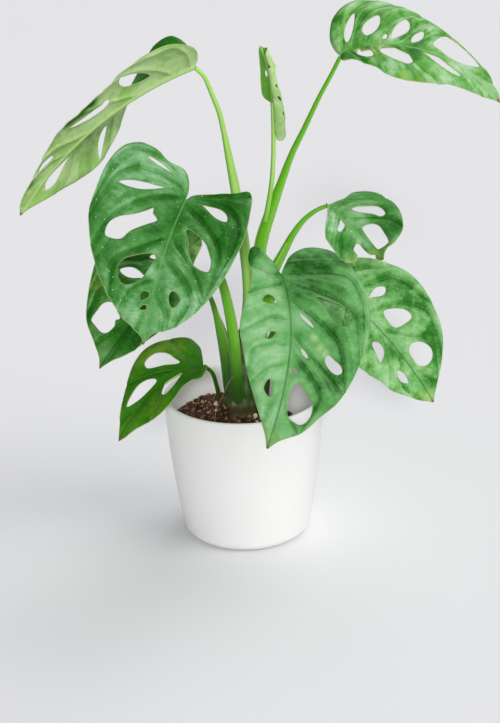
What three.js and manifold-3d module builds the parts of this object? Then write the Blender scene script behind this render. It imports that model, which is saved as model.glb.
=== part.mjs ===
// A young monstera adansonii in a white tapered pot.
// Millimetres, +Z up. The pot's foot is centred on the origin and its front faces -Y.
import * as THREE from "three";
import { mergeVertices } from "three/addons/utils/BufferGeometryUtils.js";
import Module from "manifold-3d";

const wasm = await Module();
wasm.setup();

// ---------------------------------------------------------------- driving dimensions

const POT_HEIGHT = 96.5;
const RIM_RADIUS = 52.2; // outside, at the rim
const FOOT_RADIUS = 41.5; // outside, where the straight wall meets the rounded foot
const WALL = 2.1;
const FLOOR = 4.2;
const FOOT_ROUNDING = 4.5;
const RIM_EASING = 0.6; // across and 1 mm down, on both edges of the rim
const INNER_CORNER = 3; // chamfer between the wall and the floor, inside
const POT_SIDES = 48;

const SOIL_EDGE = 75.5; // height of the soil at the wall
const SOIL_MOUND = 8.5; // rise of the soil from the wall to the crown
const SOIL_LUMPS = 0.9;
const SOIL_RINGS = 9;
const SOIL_SIDES = 36;

const GAP = 0.35; // left between pieces that touch
const BLADE_THICKNESS = 0.9;
const MIDRIB_HEIGHT = 1.3; // below the blade, at its base
const BLADE_CELL = 11; // spacing of the surface points on a blade
const CHART_BOW = 0.0015; // keeps neighbouring cells of the uncut blade out of one plane
const CHART_MARGIN = 6; // of the uncut blade around its outline
const PUNCH_DEPTH = 60; // more than the uncut blade's bow
const CUP_WIDTH = 40; // the cup angle is reached this far from the midrib
const ROLL_WIDTH = 10; // a roll's angle is added over this much of the blade's width
const LOBE_REACH = 20; // the curl angle is reached this far behind the sinus

const SPINE_STEPS = 40;
const EDGE_STEPS = 20; // along each half of a blade's outline
const WINDOW_STEPS = 5; // along each side of a window
const STALK_SIDES = 8;
const STALK_STEPS = 15;

// ---------------------------------------------------------------- leaves

// Each blade is drawn flat, then bent in space. Its flat drawing has the distance along the
// midrib from the sinus first and the distance from the midrib second; left and right are as
// seen from the sinus with the upper face up. Outlines run from the sinus to the tip.
// A window is [along, across, length, width, turn in degrees from the midrib, bluntness of
// its inner end, bow], or a list of the corners around it. In space the midrib starts at base with a compass heading, a pitch above
// level and a roll, and turns by bend (downwards, base and tip rates), sweep (sideways) and twist.
// fold lifts each half from the midrib, at the base and at the tip, cup curves it across, and
// curl turns its basal lobe down. Each roll [from along, to along, from across, degrees per 10 mm]
// turns a stretch of its margin. A tightly rolled blade has its own cell and rib.

const LEAVES = {
  top_left: {
    base: [-24, 10, 308], heading: 199, pitch: -15, roll: 0, length: 145,
    bend: [51, 13], twist: -58, sweep: 30,
    left: { fold: [50, -18], cup: -11, curl: -3, edge: [[-3, 6], [-2, 16], [4, 26], [14, 37], [27, 40],
      [40, 37], [52, 30], [64, 28], [76, 29], [88, 26], [101, 21], [113, 15], [126, 11], [137, 6]] },
    right: { fold: [36, -27], cup: -27, curl: -3, edge: [[-3, 8], [-4, 20], [-1, 32], [7, 42], [18, 47],
      [34, 48], [50, 45], [64, 43], [78, 39], [92, 33], [104, 25], [116, 16], [128, 9], [138, 3]] },
    windows: [[36, -21, 26, 12, -57, 0.9, -0.5], [68, -16, 28, 8.5, -15, 0.5, -0.6],
      [106, -12, 13, 5, -9, 0.6, 0.4], [78, 28, 23, 6, 26, 0.7, 0.1], [107, 5, 31, 7, 2, 2.2, 0],
      [22, 26, 24, 7, 66, 1, 0], [44, 25, 20, 8, 50, 1, 0]],
  },
  top_right: {
    base: [65, -1, 314], heading: -12, pitch: 27, roll: -12, length: 108,
    bend: [104, 53], twist: -2, sweep: 8,
    left: { fold: [28, -4], cup: -12, curl: -2, edge: [[-3, 7], [-4, 17], [-1, 30], [6, 42], [15, 47],
      [28, 44], [40, 39], [54, 33], [68, 29], [80, 25], [91, 20], [101, 13], [106, 5]] },
    right: { fold: [28, -23], cup: -29, curl: 0, edge: [[1.5, 4], [3, 9], [4.5, 18], [5, 28], [7.5, 33],
      [12, 31.5], [20, 35.5], [33, 41], [42, 40], [52, 35], [63, 28], [73, 21], [89, 13], [100, 6]] },
    windows: [[8, -21, 26, 5, -78, 0.8, 0.1], [20, -19, 20, 9, -73, 0.8, 0.1],
      [35.5, -16, 23, 8, -73, 1, -0.3], [27.5, -8, 5.5, 2.6, -80, 0.6, 0.1],
      [46, -11, 15, 5.3, -70, 0.9, -0.1], [[55.5, -8], [57, -15], [60, -22], [64.5, -26], [72, -25],
      [81, -21.5], [86.5, -18], [86, -12.5], [80, -6], [73, -3], [66.5, -2.5], [60, -5]], [[10, 1], [13, 0],
      [18, 11], [22, 20], [22, 25.5], [18, 26.5], [12.5, 18]], [[25.5, 12], [26, 7], [30.5, 7], [37, 11.5],
      [43, 15], [45.5, 20], [43.5, 24.5], [38, 26], [31.5, 23], [27, 18]], [[51, 4.5], [56, 3], [61, 3.5],
      [68, 7], [76, 8.5], [76, 10.5], [68, 12.5], [60, 11.5], [54, 8.5]]],
  },
  new: {
    base: [23.4, 4.5, 285.4], heading: 0, pitch: 91, roll: -75, length: 36.5,
    bend: [5, -6], twist: 0, sweep: -20, cell: 2.2, rib: 0,
    left: { fold: [25, 30], cup: 10, curl: 0, edge: [[2, 3], [6, 6], [14, 6], [22, 4.7], [29, 3.4],
      [34, 2]] },
    right: { fold: [-88, -88], cup: 832, curl: 0, rolls: [[-45, 5, 0, -60], [5, 55, 0, 70]], edge: [
      [-6, 0.5], [-16, 0.7], [-22, 1.6], [-24.3, 4], [-24.6, 8], [-23, 11.5], [-19, 14], [-10, 15],
      [0, 14.5], [8, 13], [16, 11], [23, 8], [29, 4.5], [34, 2]] },
    windows: [[3.5, 11.6, 4, 1.8, 5, 1, 0], [-6, 12, 3.5, 1.5, 5, 1, 0]],
  },
  front_left: {
    base: [-31, -23, 234], heading: -107, pitch: -18, roll: 22, length: 121,
    bend: [11, 12], twist: 7, sweep: -14,
    left: { fold: [23, -4], cup: 13, curl: -1, edge: [[-4.5, 4], [-5, 20], [-4, 31], [-3.5, 39.5],
      [2, 43.5], [13, 45.5], [32, 45.5], [50, 42], [67, 37], [82, 31], [97, 22], [106, 13], [110, 6],
      [115, 2]] },
    right: { fold: [30, 0], cup: -7, curl: -6, edge: [[-8, 1], [-16, 5], [-19, 11], [-16.5, 19], [-16, 24],
      [-17.5, 31], [-14, 41], [-6, 47], [6, 52], [20, 53.5], [35, 52.5], [50, 51], [63, 46], [76, 39],
      [88, 32], [98, 23], [107, 15], [112, 7], [116, 2]] },
    windows: [[-8, 25, 20, 4, 80, 1.5, 0], [15, 28, 34, 5.5, 55, 1.6, 0.2], [[60, 37], [52, 37.5],
      [45, 33.5], [37, 25], [30, 19.5], [25.5, 16.5], [29.5, 15.5], [31, 12.5], [33.5, 12], [41, 17.5],
      [50, 24], [58, 27.5], [60.5, 32]], [[80, 23], [74, 24], [68, 21], [62, 14.5], [57.5, 9], [56.5, 6],
      [59, 4], [63.5, 5.5], [70, 7], [77, 9], [83, 13], [86, 18], [84, 21.5]],
      [88, 5, 9, 4.6, 25, 0.7, -0.2], [96, 4, 6, 2.9, 34, 0.9, 0.2], [13, -22, 26, 7, -51, 1.5, 0.2],
      [[31, -8.5], [29, -10], [33.5, -16.5], [40, -22.5], [50, -27.5], [59.5, -28.5], [61, -25],
      [57, -18.5], [48, -14], [39, -12]], [85, -12, 12.5, 6.5, -7, 0.9, 0.3]],
  },
  front_right: {
    base: [26, -12, 181], heading: -73, pitch: -28, roll: 27, length: 119,
    bend: [65, 42], twist: -34, sweep: 20,
    left: { fold: [28, 2], cup: -2, curl: 1, rolls: [[2, 62, 41, -35]], edge: [[-6, 4], [-14, 11],
      [-18, 22], [-15, 34], [-7, 42], [6, 47], [22, 50], [36, 50], [50, 46], [66, 41], [81, 34], [92, 25],
      [103, 17], [111, 6]] },
    right: { fold: [23, -21], cup: -6, curl: 2, rolls: [[-12, 14, 27, -75]], edge: [[-1, 8], [-4.5, 15],
      [-7, 21], [-6, 27], [-2, 30.5], [4, 32], [11, 32], [18, 32.5], [31, 34], [45, 35], [60, 30], [75, 24],
      [89, 17], [101, 10], [112, 3]] },
    windows: [[27, 17, 11, 6, 79, 0.9, -0.4], [49, 14, 9, 4.1, 53, 1.3, 0], [82, 9, 12, 4.9, -16, 1, -0.4],
      [36, -10, 13, 2.6, -43, 1, 0], [57, -9, 8, 2.2, -40, 1, 0], [69, -4, 6, 3, -73, 1.2, 0.2],
      [[75.5, -7], [79, -4.5], [88, -4], [95.5, -6], [98, -10.5], [98.5, -15], [95, -18.5], [90, -19.5],
      [85.5, -18.5], [80.5, -14.5], [76.5, -10]], [[20, -18], [22, -24], [25, -31.5], [29, -37],
      [34.5, -38.5], [38.5, -35.5], [38.5, -30], [34.5, -25.5], [27, -21.5]], [[56.5, -23.5], [59.5, -28.5],
      [61.8, -32], [65, -33], [66.8, -30], [64.8, -25.5], [60.5, -22]]],
  },
  mid_left: {
    base: [-31, 6, 195], heading: -128, pitch: -27, roll: 11, length: 104,
    bend: [4, 16], twist: 10, sweep: -1,
    left: { fold: [14, 14], cup: -7, curl: 0, edge: [[-11, 0.5], [-9, 4], [-2, 7], [6, 12], [14, 15],
      [26, 20], [42, 25], [56, 26], [68, 22], [80, 17], [91, 10], [98, 4]] },
    right: { fold: [13, 17], cup: -7, curl: 0, edge: [[-11, 0.5], [-13, 5], [-11, 12], [-7, 18], [1, 23],
      [8, 29], [15, 36], [26, 42], [40, 43], [54, 38], [69, 31], [82, 23], [92, 11], [98, 4]] },
    windows: [[[79.5, 21], [73, 21.5], [66.5, 21], [63, 17], [66, 11], [69.5, 7], [72, 8.5], [76, 7],
      [82, 8.5], [83.5, 12], [81.5, 17.5]], [38, 18, 17, 8, 77, 1.3, -0.1], [19.5, 14, 6, 3.2, 60, 1.1, 0],
      [26, -9, 12, 5, -50, 1.1, 0]],
  },
  mid_right: {
    base: [60, 10, 163], heading: -38, pitch: -25, roll: -11, length: 102,
    bend: [45, 58], twist: -25, sweep: -5,
    left: { fold: [6, 20], cup: -5, curl: 0, edge: [[-9, 9], [-12, 20], [-8, 31], [1, 41], [14, 44],
      [30, 44], [44, 41], [57, 36], [68, 30], [78, 22], [88, 12], [96, 4]] },
    right: { fold: [14, 13], cup: -6, curl: 0, edge: [[-9, 8], [-12, 18], [-7, 30], [6, 37], [22, 39],
      [38, 37], [51, 33], [64, 27], [75, 22], [84, 15], [93, 8], [98, 3]] },
    windows: [[22, -17, 15, 7, -83, 1.6, -0.1], [[34, -11], [37.5, -18], [43, -22.3], [48.5, -21.5],
      [48.5, -14], [46.5, -8.5], [40, -7.8]], [51, 14, 14, 7.5, 34, 0.6, 0.5],
      [73, 10, 11, 6, -11, 0.8, -0.1], [[63.5, -5.5], [60.8, -10], [64.5, -16], [71, -18], [76, -15],
      [77.5, -9.5], [74.5, -5], [69, -4.7]]],
  },
  low_left: {
    base: [-25, -13, 121], heading: -161, pitch: 1, roll: -2, length: 77,
    bend: [105, 21], twist: 18, sweep: 2,
    left: { fold: [17, -4], cup: -14, curl: 0, edge: [[0, 9], [4, 20], [7, 26], [9.5, 28.5], [12.5, 26],
      [15.5, 22.5], [20, 22], [28, 25], [37, 25], [46, 21.5], [55, 14.5], [63, 9], [71, 4.5]] },
    right: { fold: [19, -1], cup: 8, curl: 0, edge: [[-2, 9], [-3, 18], [1, 27], [9, 31], [23, 34],
      [34, 31], [44, 25], [54, 18], [64, 11], [72, 4]] },
    windows: [[[30, 24.5], [25, 26], [20.5, 25], [16, 20.5], [14, 14], [12.5, 9], [15, 8.5], [22, 13],
      [28, 16.5], [31, 20]], [[56.5, 10], [50, 12.7], [42, 14], [36, 12.3], [31.5, 8.5], [31.5, 5],
      [38, 3.8], [46, 4.3], [53, 7]], [[32.5, -11], [30, -6], [26, -1.7], [20, -1.2], [16.5, -1.3],
      [18, -4.5], [22, -9.5], [27, -13.3], [31.5, -14]]],
  },
  small_right: {
    base: [56, 0, 221], heading: -37, pitch: -32, roll: -2, length: 64,
    bend: [-13, -77], twist: -47, sweep: 30,
    left: { fold: [10, 7], cup: -10, curl: 0, edge: [[1, 7], [2, 15], [1.5, 22], [3, 28], [7, 34], [13, 36],
      [20, 35], [28, 32], [40, 26], [50, 19.5], [57, 12], [56.5, 7], [59, 3]] },
    right: { fold: [35, -11], cup: 14, curl: 0, edge: [[0, 5], [8, 15], [18, 23], [25, 25.5], [31, 24.5],
      [40, 22], [47.5, 19], [49.5, 14], [46.5, 11], [41.5, 11], [38.5, 8.5], [37, 6], [40, 5], [46, 5],
      [51, 4], [53, 2], [57, 3], [61, 2]] },
    windows: [[[11, -10.5], [12, -15], [15.5, -20.5], [18.5, -24], [23, -24.5], [27, -22.5], [26.5, -19.5],
      [22, -17], [18, -13.5], [14, -10.5]], [[27.5, -4.5], [27, -8], [29, -11.5], [33, -13], [41, -11.5],
      [51, -9.5], [53, -7.5], [51, -2.5], [48.5, -1.5], [41.5, -2], [33.5, -3]], [[12.5, 1.2], [16.5, 1.3],
      [20, 4.5], [23.5, 9.5], [25, 13], [23, 14], [19, 9.5], [14.5, 4]], [26, 3, 2.2, 1.8, 0, 1, 0]],
  },
};

// Leaf stalks from the crown to the blade: [x, y, z, radius] at each station. The lower part of
// each is widened by its sheath.
const STALKS = {
  top_left: [[-4, 12, 79, 3.6], [0.5, 13.5, 128, 3.7], [3, 15.5, 158, 3.5], [3, 15, 194, 3.3],
    [-1, 14, 227, 3], [-4.5, 13.5, 250, 2.3], [-7, 13, 266, 1.7], [-9.5, 12.5, 279, 1.6],
    [-13.5, 12, 290.5, 1.5], [-18, 11, 302, 1.4], [-23, 10, 307.5, 1.4]],
  top_right: [[6.5, 10.5, 79, 3.7], [9.5, 8.5, 149, 3.9], [11.5, 8, 177, 3.9], [15, 7.5, 198, 3.9],
    [21.5, 6.5, 218, 3.4], [27, 6, 233, 2.7], [34.5, 4.5, 253, 2], [42.5, 3, 269.5, 1.7],
    [52.5, 1, 290.5, 1.4], [59, 0, 302.5, 1.3], [64.6, -1, 313.6, 1.3]],
  new: [[16.7, 2.1, 211, 1.6], [18.6, 1.8, 219, 1.6], [21.5, 1.6, 235, 1.5], [23, 2, 251, 1.4],
    [23.5, 3, 269, 1.3], [23.4, 4.5, 284.5, 1.2]],
  front_left: [[-5, -11.5, 79, 3.8], [-4.5, -12.5, 126, 3.6], [-6, -14, 148.5, 3.5],
    [-9.5, -17, 172, 3.1], [-13, -19.5, 186, 2.6], [-18, -20.5, 205, 2], [-23.5, -21, 224, 1.7],
    [-30, -22.5, 232.5, 1.6]],
  front_right: [[6.5, -10.5, 79, 3.4], [9, -10.5, 105, 3.3], [13, -11.5, 140, 3], [18.5, -12.5, 160.5, 2.2],
    [22.5, -12.7, 173, 1.8], [25.5, -12, 180, 1.7]],
  mid_left: [[-11, 4, 79, 3.6], [-11, 4, 119, 3.8], [-13.5, 4, 135, 3.2], [-16, 4, 148, 1.9],
    [-19.5, 4.5, 161, 1.6], [-28, 7, 173, 1.5], [-33, 8, 184, 1.4], [-31, 6.3, 194.5, 1.4]],
  mid_right: [[12.5, 3.5, 79, 3.4], [14, 3.5, 99, 3.4], [18, 5.5, 126, 3], [27.5, 7, 146.5, 2.2],
    [41.5, 8, 160.5, 1.8], [52.5, 9, 164.5, 1.6], [59.5, 10, 162.5, 1.6]],
  low_left: [[-15.8, 11, 79, 1.6], [-16.3, 8, 90, 1.5], [-17.8, 0, 103, 1.4], [-20, -8, 114, 1.3],
    [-24.5, -13, 120.5, 1.2]],
  small_right: [[11, -4, 79, 3.2], [11.5, -4, 102, 3.3], [13, -4, 134, 3.2], [15.5, -4, 161, 3],
    [21.5, -3.5, 180, 2.6], [27.5, -2.5, 191.5, 2.1], [34, -2, 203, 1.7], [42, -1, 213, 1.4],
    [49.5, -1, 218.5, 1.3], [55, 0, 220.5, 1.3]],
};

const STEM = [[0, 0, 62, 6], [0, 0, 78, 7.4], [0, 0.5, 100, 7], [1, 0.5, 118, 5.6], [2, 1, 134, 3.2]];

const AERIAL_ROOT = [[-6.5, -16.8, 114, 0.7], [-9, -18, 111, 0.7], [-11.5, -19, 106, 0.7],
  [-15.5, -20, 97.5, 0.6], [-18, -21, 92, 0.6], [-19, -22, 84.5, 0.6], [-19, -22, 78, 0.5]];

// ---------------------------------------------------------------- materials

const material = (color, roughness) => new THREE.MeshStandardMaterial({ color, roughness, metalness: 0 });

const MATERIALS = {
  pot: material("#f0f0ee", 0.45),
  soil: material("#35241a", 0.95),
  stem: material("#3c6a22", 0.55),
  root: material("#b39a78", 0.8),
  stalk: material("#86bd4a", 0.45),
  blade: material("#3f8a3c", 0.4),
};

// ---------------------------------------------------------------- solids and meshes

function solidFrom(geometry) {
  const bare = geometry.clone();
  bare.deleteAttribute("normal");
  bare.deleteAttribute("uv");
  const merged = mergeVertices(bare, 1e-4);
  const vertProperties = new Float32Array(merged.attributes.position.array);
  const triVerts = new Uint32Array(merged.index.array);
  return new wasm.Manifold(new wasm.Mesh({ numProp: 3, vertProperties, triVerts }));
}

function geometryFrom(solid) {
  const { numProp, numVert, vertProperties, triVerts } = solid.getMesh();
  const positions = new Float32Array(numVert * 3);
  for (let i = 0; i < numVert; i++) {
    positions.set(vertProperties.subarray(i * numProp, i * numProp + 3), i * 3);
  }
  const geometry = new THREE.BufferGeometry();
  geometry.setAttribute("position", new THREE.BufferAttribute(positions, 3));
  geometry.setIndex(new THREE.BufferAttribute(new Uint32Array(triVerts), 1));
  return geometry;
}

function moveVertices(geometry, place) {
  const position = geometry.attributes.position;
  const vertex = new THREE.Vector3();
  for (let i = 0; i < position.count; i++) {
    place(vertex.fromBufferAttribute(position, i));
    position.setXYZ(i, vertex.x, vertex.y, vertex.z);
  }
  return geometry;
}

const root = new THREE.Group();

function addMesh(name, geometry, finish) {
  geometry.computeVertexNormals();
  const mesh = new THREE.Mesh(geometry, finish);
  mesh.name = name;
  root.add(mesh);
}

// ---------------------------------------------------------------- stalks, stem and root

// A round stalk through its stations, as a lathe along Y that is then bent onto the curve.
// swell makes it fatter and longer by that much, for cutting clearance.
function stalkGeometry(stations, swell = 0) {
  const curve = new THREE.CatmullRomCurve3(
    stations.map(([x, y, z]) => new THREE.Vector3(x, y, z)),
    false,
    "centripetal",
  );
  const radiusAt = (u) => {
    const place = u * (stations.length - 1);
    const i = Math.min(Math.floor(place), stations.length - 2);
    return swell + THREE.MathUtils.lerp(stations[i][3], stations[i + 1][3], place - i);
  };
  const profile = [new THREE.Vector2(0, 0)];
  for (let i = 0; i <= STALK_STEPS; i++) {
    const u = i / STALK_STEPS;
    profile.push(new THREE.Vector2(radiusAt(u), u));
  }
  profile.push(new THREE.Vector2(0, 1));
  const across = new THREE.Vector3(0, 1, 0);
  return moveVertices(new THREE.LatheGeometry(profile, STALK_SIDES), (v) => {
    const along = curve.getTangent(v.y).normalize();
    const a = new THREE.Vector3().crossVectors(across, along).normalize();
    const b = new THREE.Vector3().crossVectors(a, along);
    const centre = curve.getPoint(v.y);
    const beyond = swell * (v.y === 1 ? 1 : v.y === 0 ? -1 : 0);
    centre.addScaledVector(a, v.x).addScaledVector(b, v.z).addScaledVector(along, beyond);
    v.copy(centre);
  });
}

// ---------------------------------------------------------------- leaf blades

const radians = THREE.MathUtils.degToRad;

// The midrib in space: its point, direction, right-hand side and upper normal at each step.
function spineOf(leaf) {
  const heading = radians(leaf.heading);
  const pitch = radians(leaf.pitch);
  const along = new THREE.Vector3(
    Math.cos(pitch) * Math.cos(heading),
    Math.cos(pitch) * Math.sin(heading),
    Math.sin(pitch),
  );
  const side = new THREE.Vector3(Math.sin(heading), -Math.cos(heading), 0);
  side.applyAxisAngle(along, -radians(leaf.roll));
  const up = new THREE.Vector3().crossVectors(side, along);
  const point = new THREE.Vector3(...leaf.base);
  const spine = [{ point: point.clone(), along: along.clone(), side: side.clone(), up: up.clone() }];
  for (let i = 0; i < SPINE_STEPS; i++) {
    const u = (i + 0.5) / SPINE_STEPS;
    const bend = radians(THREE.MathUtils.lerp(leaf.bend[0], leaf.bend[1], u)) / SPINE_STEPS;
    const sweep = radians(leaf.sweep) / SPINE_STEPS;
    const twist = radians(leaf.twist) / SPINE_STEPS;
    const before = along.clone();
    along.addScaledVector(up, -bend).addScaledVector(side, sweep).normalize();
    side.addScaledVector(up, twist).addScaledVector(before, -sweep);
    side.addScaledVector(along, -side.dot(along)).normalize();
    up.crossVectors(side, along);
    point.addScaledVector(before.add(along), leaf.length / SPINE_STEPS / 2);
    spine.push({ point: point.clone(), along: along.clone(), side: side.clone(), up: up.clone() });
  }
  return spine;
}

// The point on the bent blade for a point of its flat drawing, lifted by height along the normal.
function bladePoint(leaf, spine, s, t, height) {
  const place = THREE.MathUtils.clamp(s / leaf.length, 0, 1) * SPINE_STEPS;
  const i = Math.min(Math.floor(place), SPINE_STEPS - 1);
  const mix = (key) => spine[i][key].clone().lerp(spine[i + 1][key], place - i);
  const point = mix("point");
  const along = mix("along");
  const side = mix("side");
  const up = mix("up");
  const half = t < 0 ? leaf.left : leaf.right;
  const behind = Math.max(-s, 0);
  const turn = (radians(half.curl) * behind) / LOBE_REACH;
  point.addScaledVector(along, -behind * Math.cos(turn / 2));
  point.addScaledVector(up, -behind * Math.sin(turn / 2));
  up.multiplyScalar(Math.cos(turn)).addScaledVector(along, -Math.sin(turn));
  const fold = radians(THREE.MathUtils.lerp(half.fold[0], half.fold[1], place / SPINE_STEPS));
  const rate = radians(half.cup) / CUP_WIDTH || 1e-7;
  let near = Math.abs(t);
  let bent = rate;
  for (const [low, high, inner, degrees] of half.rolls ?? []) {
    const ease = Math.sqrt(Math.sin(Math.PI * THREE.MathUtils.clamp((s - low) / (high - low), 0, 1)));
    if (!(ease > 0)) continue;
    near = Math.min(Math.abs(t), inner);
    bent = rate + (radians(degrees) / ROLL_WIDTH) * ease || 1e-7;
  }
  const first = fold + rate * near;
  const slope = first + bent * (Math.abs(t) - near);
  const out = (Math.sin(first) - Math.sin(fold)) / rate + (Math.sin(slope) - Math.sin(first)) / bent;
  const rise = (Math.cos(fold) - Math.cos(first)) / rate + (Math.cos(first) - Math.cos(slope)) / bent;
  const outward = side.clone().multiplyScalar(t < 0 ? -1 : 1);
  point.addScaledVector(outward, out - height * Math.sin(slope));
  return point.addScaledVector(up, rise + height * Math.cos(slope));
}

// One half of the outline, as a smooth curve from the sinus to the tip.
function halfOutline(leaf, half, sign) {
  const points = [[0, 0], ...half.edge, [leaf.length, 0]].map(([s, t]) => new THREE.Vector2(s, sign * t));
  return new THREE.SplineCurve(points).getPoints(EDGE_STEPS);
}

function outlineShape(leaf) {
  const right = halfOutline(leaf, leaf.right, 1);
  const left = halfOutline(leaf, leaf.left, -1).reverse();
  return new THREE.Shape([...left.slice(0, -1), ...right.slice(0, -1)].reverse());
}

// A window is an oval with one blunter end and a bowed axis, or goes from corner to corner.
function windowShape(opening) {
  if (Array.isArray(opening[0])) return new THREE.Shape(opening.map(([s, t]) => new THREE.Vector2(s, t)));
  const [s, t, length, width, turn, bluntness, bow] = opening;
  const angle = radians(turn);
  const points = [];
  for (const side of [1, -1]) {
    for (let i = 0; i < WINDOW_STEPS; i++) {
      const share = (1 - Math.cos((Math.PI * i) / WINDOW_STEPS)) / 2;
      const q = side > 0 ? share : 1 - share;
      const a = (q - 0.5) * length;
      const swell = Math.sin(Math.PI * q ** bluntness) ** 0.75 || 0;
      const b = (side * width * swell) / 2 + bow * length * (4 * (q - 0.5) ** 2 - 0.5) * 0.25;
      points.push(new THREE.Vector2(
        s + a * Math.cos(angle) - b * Math.sin(angle),
        t + a * Math.sin(angle) + b * Math.cos(angle),
      ));
    }
  }
  return new THREE.Shape(points);
}

function punch(shape) {
  const geometry = new THREE.ExtrudeGeometry(shape, { depth: PUNCH_DEPTH, bevelEnabled: false, steps: 1 });
  return solidFrom(geometry.translate(0, 0, -PUNCH_DEPTH / 2));
}

// The blade is cut out of a slab in its flat drawing, and each of its points is then placed in space.
function bladeSolid(leaf) {
  const edges = [...leaf.left.edge, ...leaf.right.edge];
  const widest = 2 * (Math.max(...edges.map((p) => p[1])) + CHART_MARGIN);
  const reach = Math.max(...edges.map((p) => -p[0])) + CHART_MARGIN;
  const long = leaf.length + reach + CHART_MARGIN;
  const bow = (s, t) => CHART_BOW * ((s - leaf.length / 2) ** 2 + t ** 2);
  const { cell = BLADE_CELL, rib: ribHeight = MIDRIB_HEIGHT } = leaf;
  const slab = new THREE.BoxGeometry(
    long, widest, BLADE_THICKNESS, Math.ceil(long / cell), 2 * Math.ceil(widest / cell / 2), 1,
  );
  slab.translate(long / 2 - reach, 0, 0);
  moveVertices(slab, (v) => {
    v.z += bow(v.x, v.y);
  });
  let blade = solidFrom(slab).intersect(punch(outlineShape(leaf)));
  for (const opening of leaf.windows) blade = blade.subtract(punch(windowShape(opening)));
  const spine = spineOf(leaf);
  const placed = moveVertices(geometryFrom(blade), (v) => {
    const above = v.z < bow(v.x, v.y); // along, right and down make a right-handed frame
    const onMidrib = Math.abs(v.y) < 0.01 && v.x > 2;
    const rib = onMidrib ? ribHeight * (1 - (0.85 * v.x) / leaf.length) : 0;
    const height = above ? BLADE_THICKNESS / 2 : -BLADE_THICKNESS / 2 - rib;
    v.copy(bladePoint(leaf, spine, v.x, v.y, height));
  });
  return solidFrom(placed);
}

// ---------------------------------------------------------------- pot and soil

const outside = (z) => FOOT_RADIUS + ((RIM_RADIUS - FOOT_RADIUS) / POT_HEIGHT) * z;

function potGeometry() {
  const profile = [[0, 0], [outside(0) - FOOT_ROUNDING, 0]];
  for (const angle of [30, 60, 90]) {
    profile.push([
      outside(FOOT_ROUNDING) - FOOT_ROUNDING * (1 - Math.sin(radians(angle))),
      FOOT_ROUNDING * (1 - Math.cos(radians(angle))),
    ]);
  }
  profile.push(
    [outside(POT_HEIGHT - 1), POT_HEIGHT - 1],
    [outside(POT_HEIGHT) - RIM_EASING, POT_HEIGHT],
    [outside(POT_HEIGHT) - WALL + RIM_EASING, POT_HEIGHT],
    [outside(POT_HEIGHT - 1) - WALL, POT_HEIGHT - 1],
    [outside(FLOOR + INNER_CORNER) - WALL, FLOOR + INNER_CORNER],
    [outside(FLOOR) - WALL - INNER_CORNER, FLOOR],
    [0, FLOOR],
  );
  const points = profile.map(([r, z]) => new THREE.Vector2(r, z));
  return new THREE.LatheGeometry(points, POT_SIDES).rotateX(Math.PI / 2);
}

// The filling, with a socket for each piece that is rooted in it.
function soilSolid(rooted) {
  const inside = (z) => outside(z) - WALL - GAP;
  const edge = inside(SOIL_EDGE);
  const profile = [
    [0, FLOOR + GAP],
    [inside(FLOOR) - INNER_CORNER - 1, FLOOR + GAP],
    [inside(FLOOR) - 1, FLOOR + INNER_CORNER + 1],
  ];
  for (let i = 0; i <= SOIL_RINGS; i++) {
    const r = edge * (1 - i / SOIL_RINGS);
    profile.push([r, SOIL_EDGE + SOIL_MOUND * (1 - (r / edge) ** 2)]);
  }
  const points = profile.map(([r, z]) => new THREE.Vector2(r, z));
  const soil = new THREE.LatheGeometry(points, SOIL_SIDES).rotateX(Math.PI / 2);
  moveVertices(soil, (v) => {
    const r = Math.hypot(v.x, v.y);
    const onTop = v.z >= SOIL_EDGE && r < edge - 1;
    const lumps = Math.sin(v.x * 0.9 + 1) * Math.cos(v.y * 0.7) + Math.sin(v.x * 0.31 - v.y * 0.43);
    if (onTop) v.z += SOIL_LUMPS * lumps;
  });
  const sockets = rooted.map((stations) => solidFrom(stalkGeometry(stations, GAP)));
  return sockets.reduce((filling, socket) => filling.subtract(socket), solidFrom(soil));
}

// ---------------------------------------------------------------- assembly

addMesh("pot", potGeometry(), MATERIALS.pot);
addMesh("soil", geometryFrom(soilSolid([STEM, AERIAL_ROOT, ...Object.values(STALKS)])), MATERIALS.soil);
addMesh("stem", stalkGeometry(STEM), MATERIALS.stem);
addMesh("aerial_root", stalkGeometry(AERIAL_ROOT), MATERIALS.root);
for (const [place, stations] of Object.entries(STALKS)) {
  addMesh("stalk_" + place, stalkGeometry(stations), MATERIALS.stalk);
  const blade = bladeSolid(LEAVES[place]).subtract(solidFrom(stalkGeometry(stations, GAP)));
  addMesh("leaf_" + place, geometryFrom(blade), MATERIALS.blade);
}

export default root;
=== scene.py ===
"""A young monstera adansonii in a white tapered pot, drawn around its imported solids.

Lengths in the leaf and stalk tables are millimetres, as on a drawing; MM turns them into metres.
"""

import math
from itertools import product
from types import SimpleNamespace

import bmesh
import bpy
import numpy as np
from mathutils import Matrix


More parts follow.
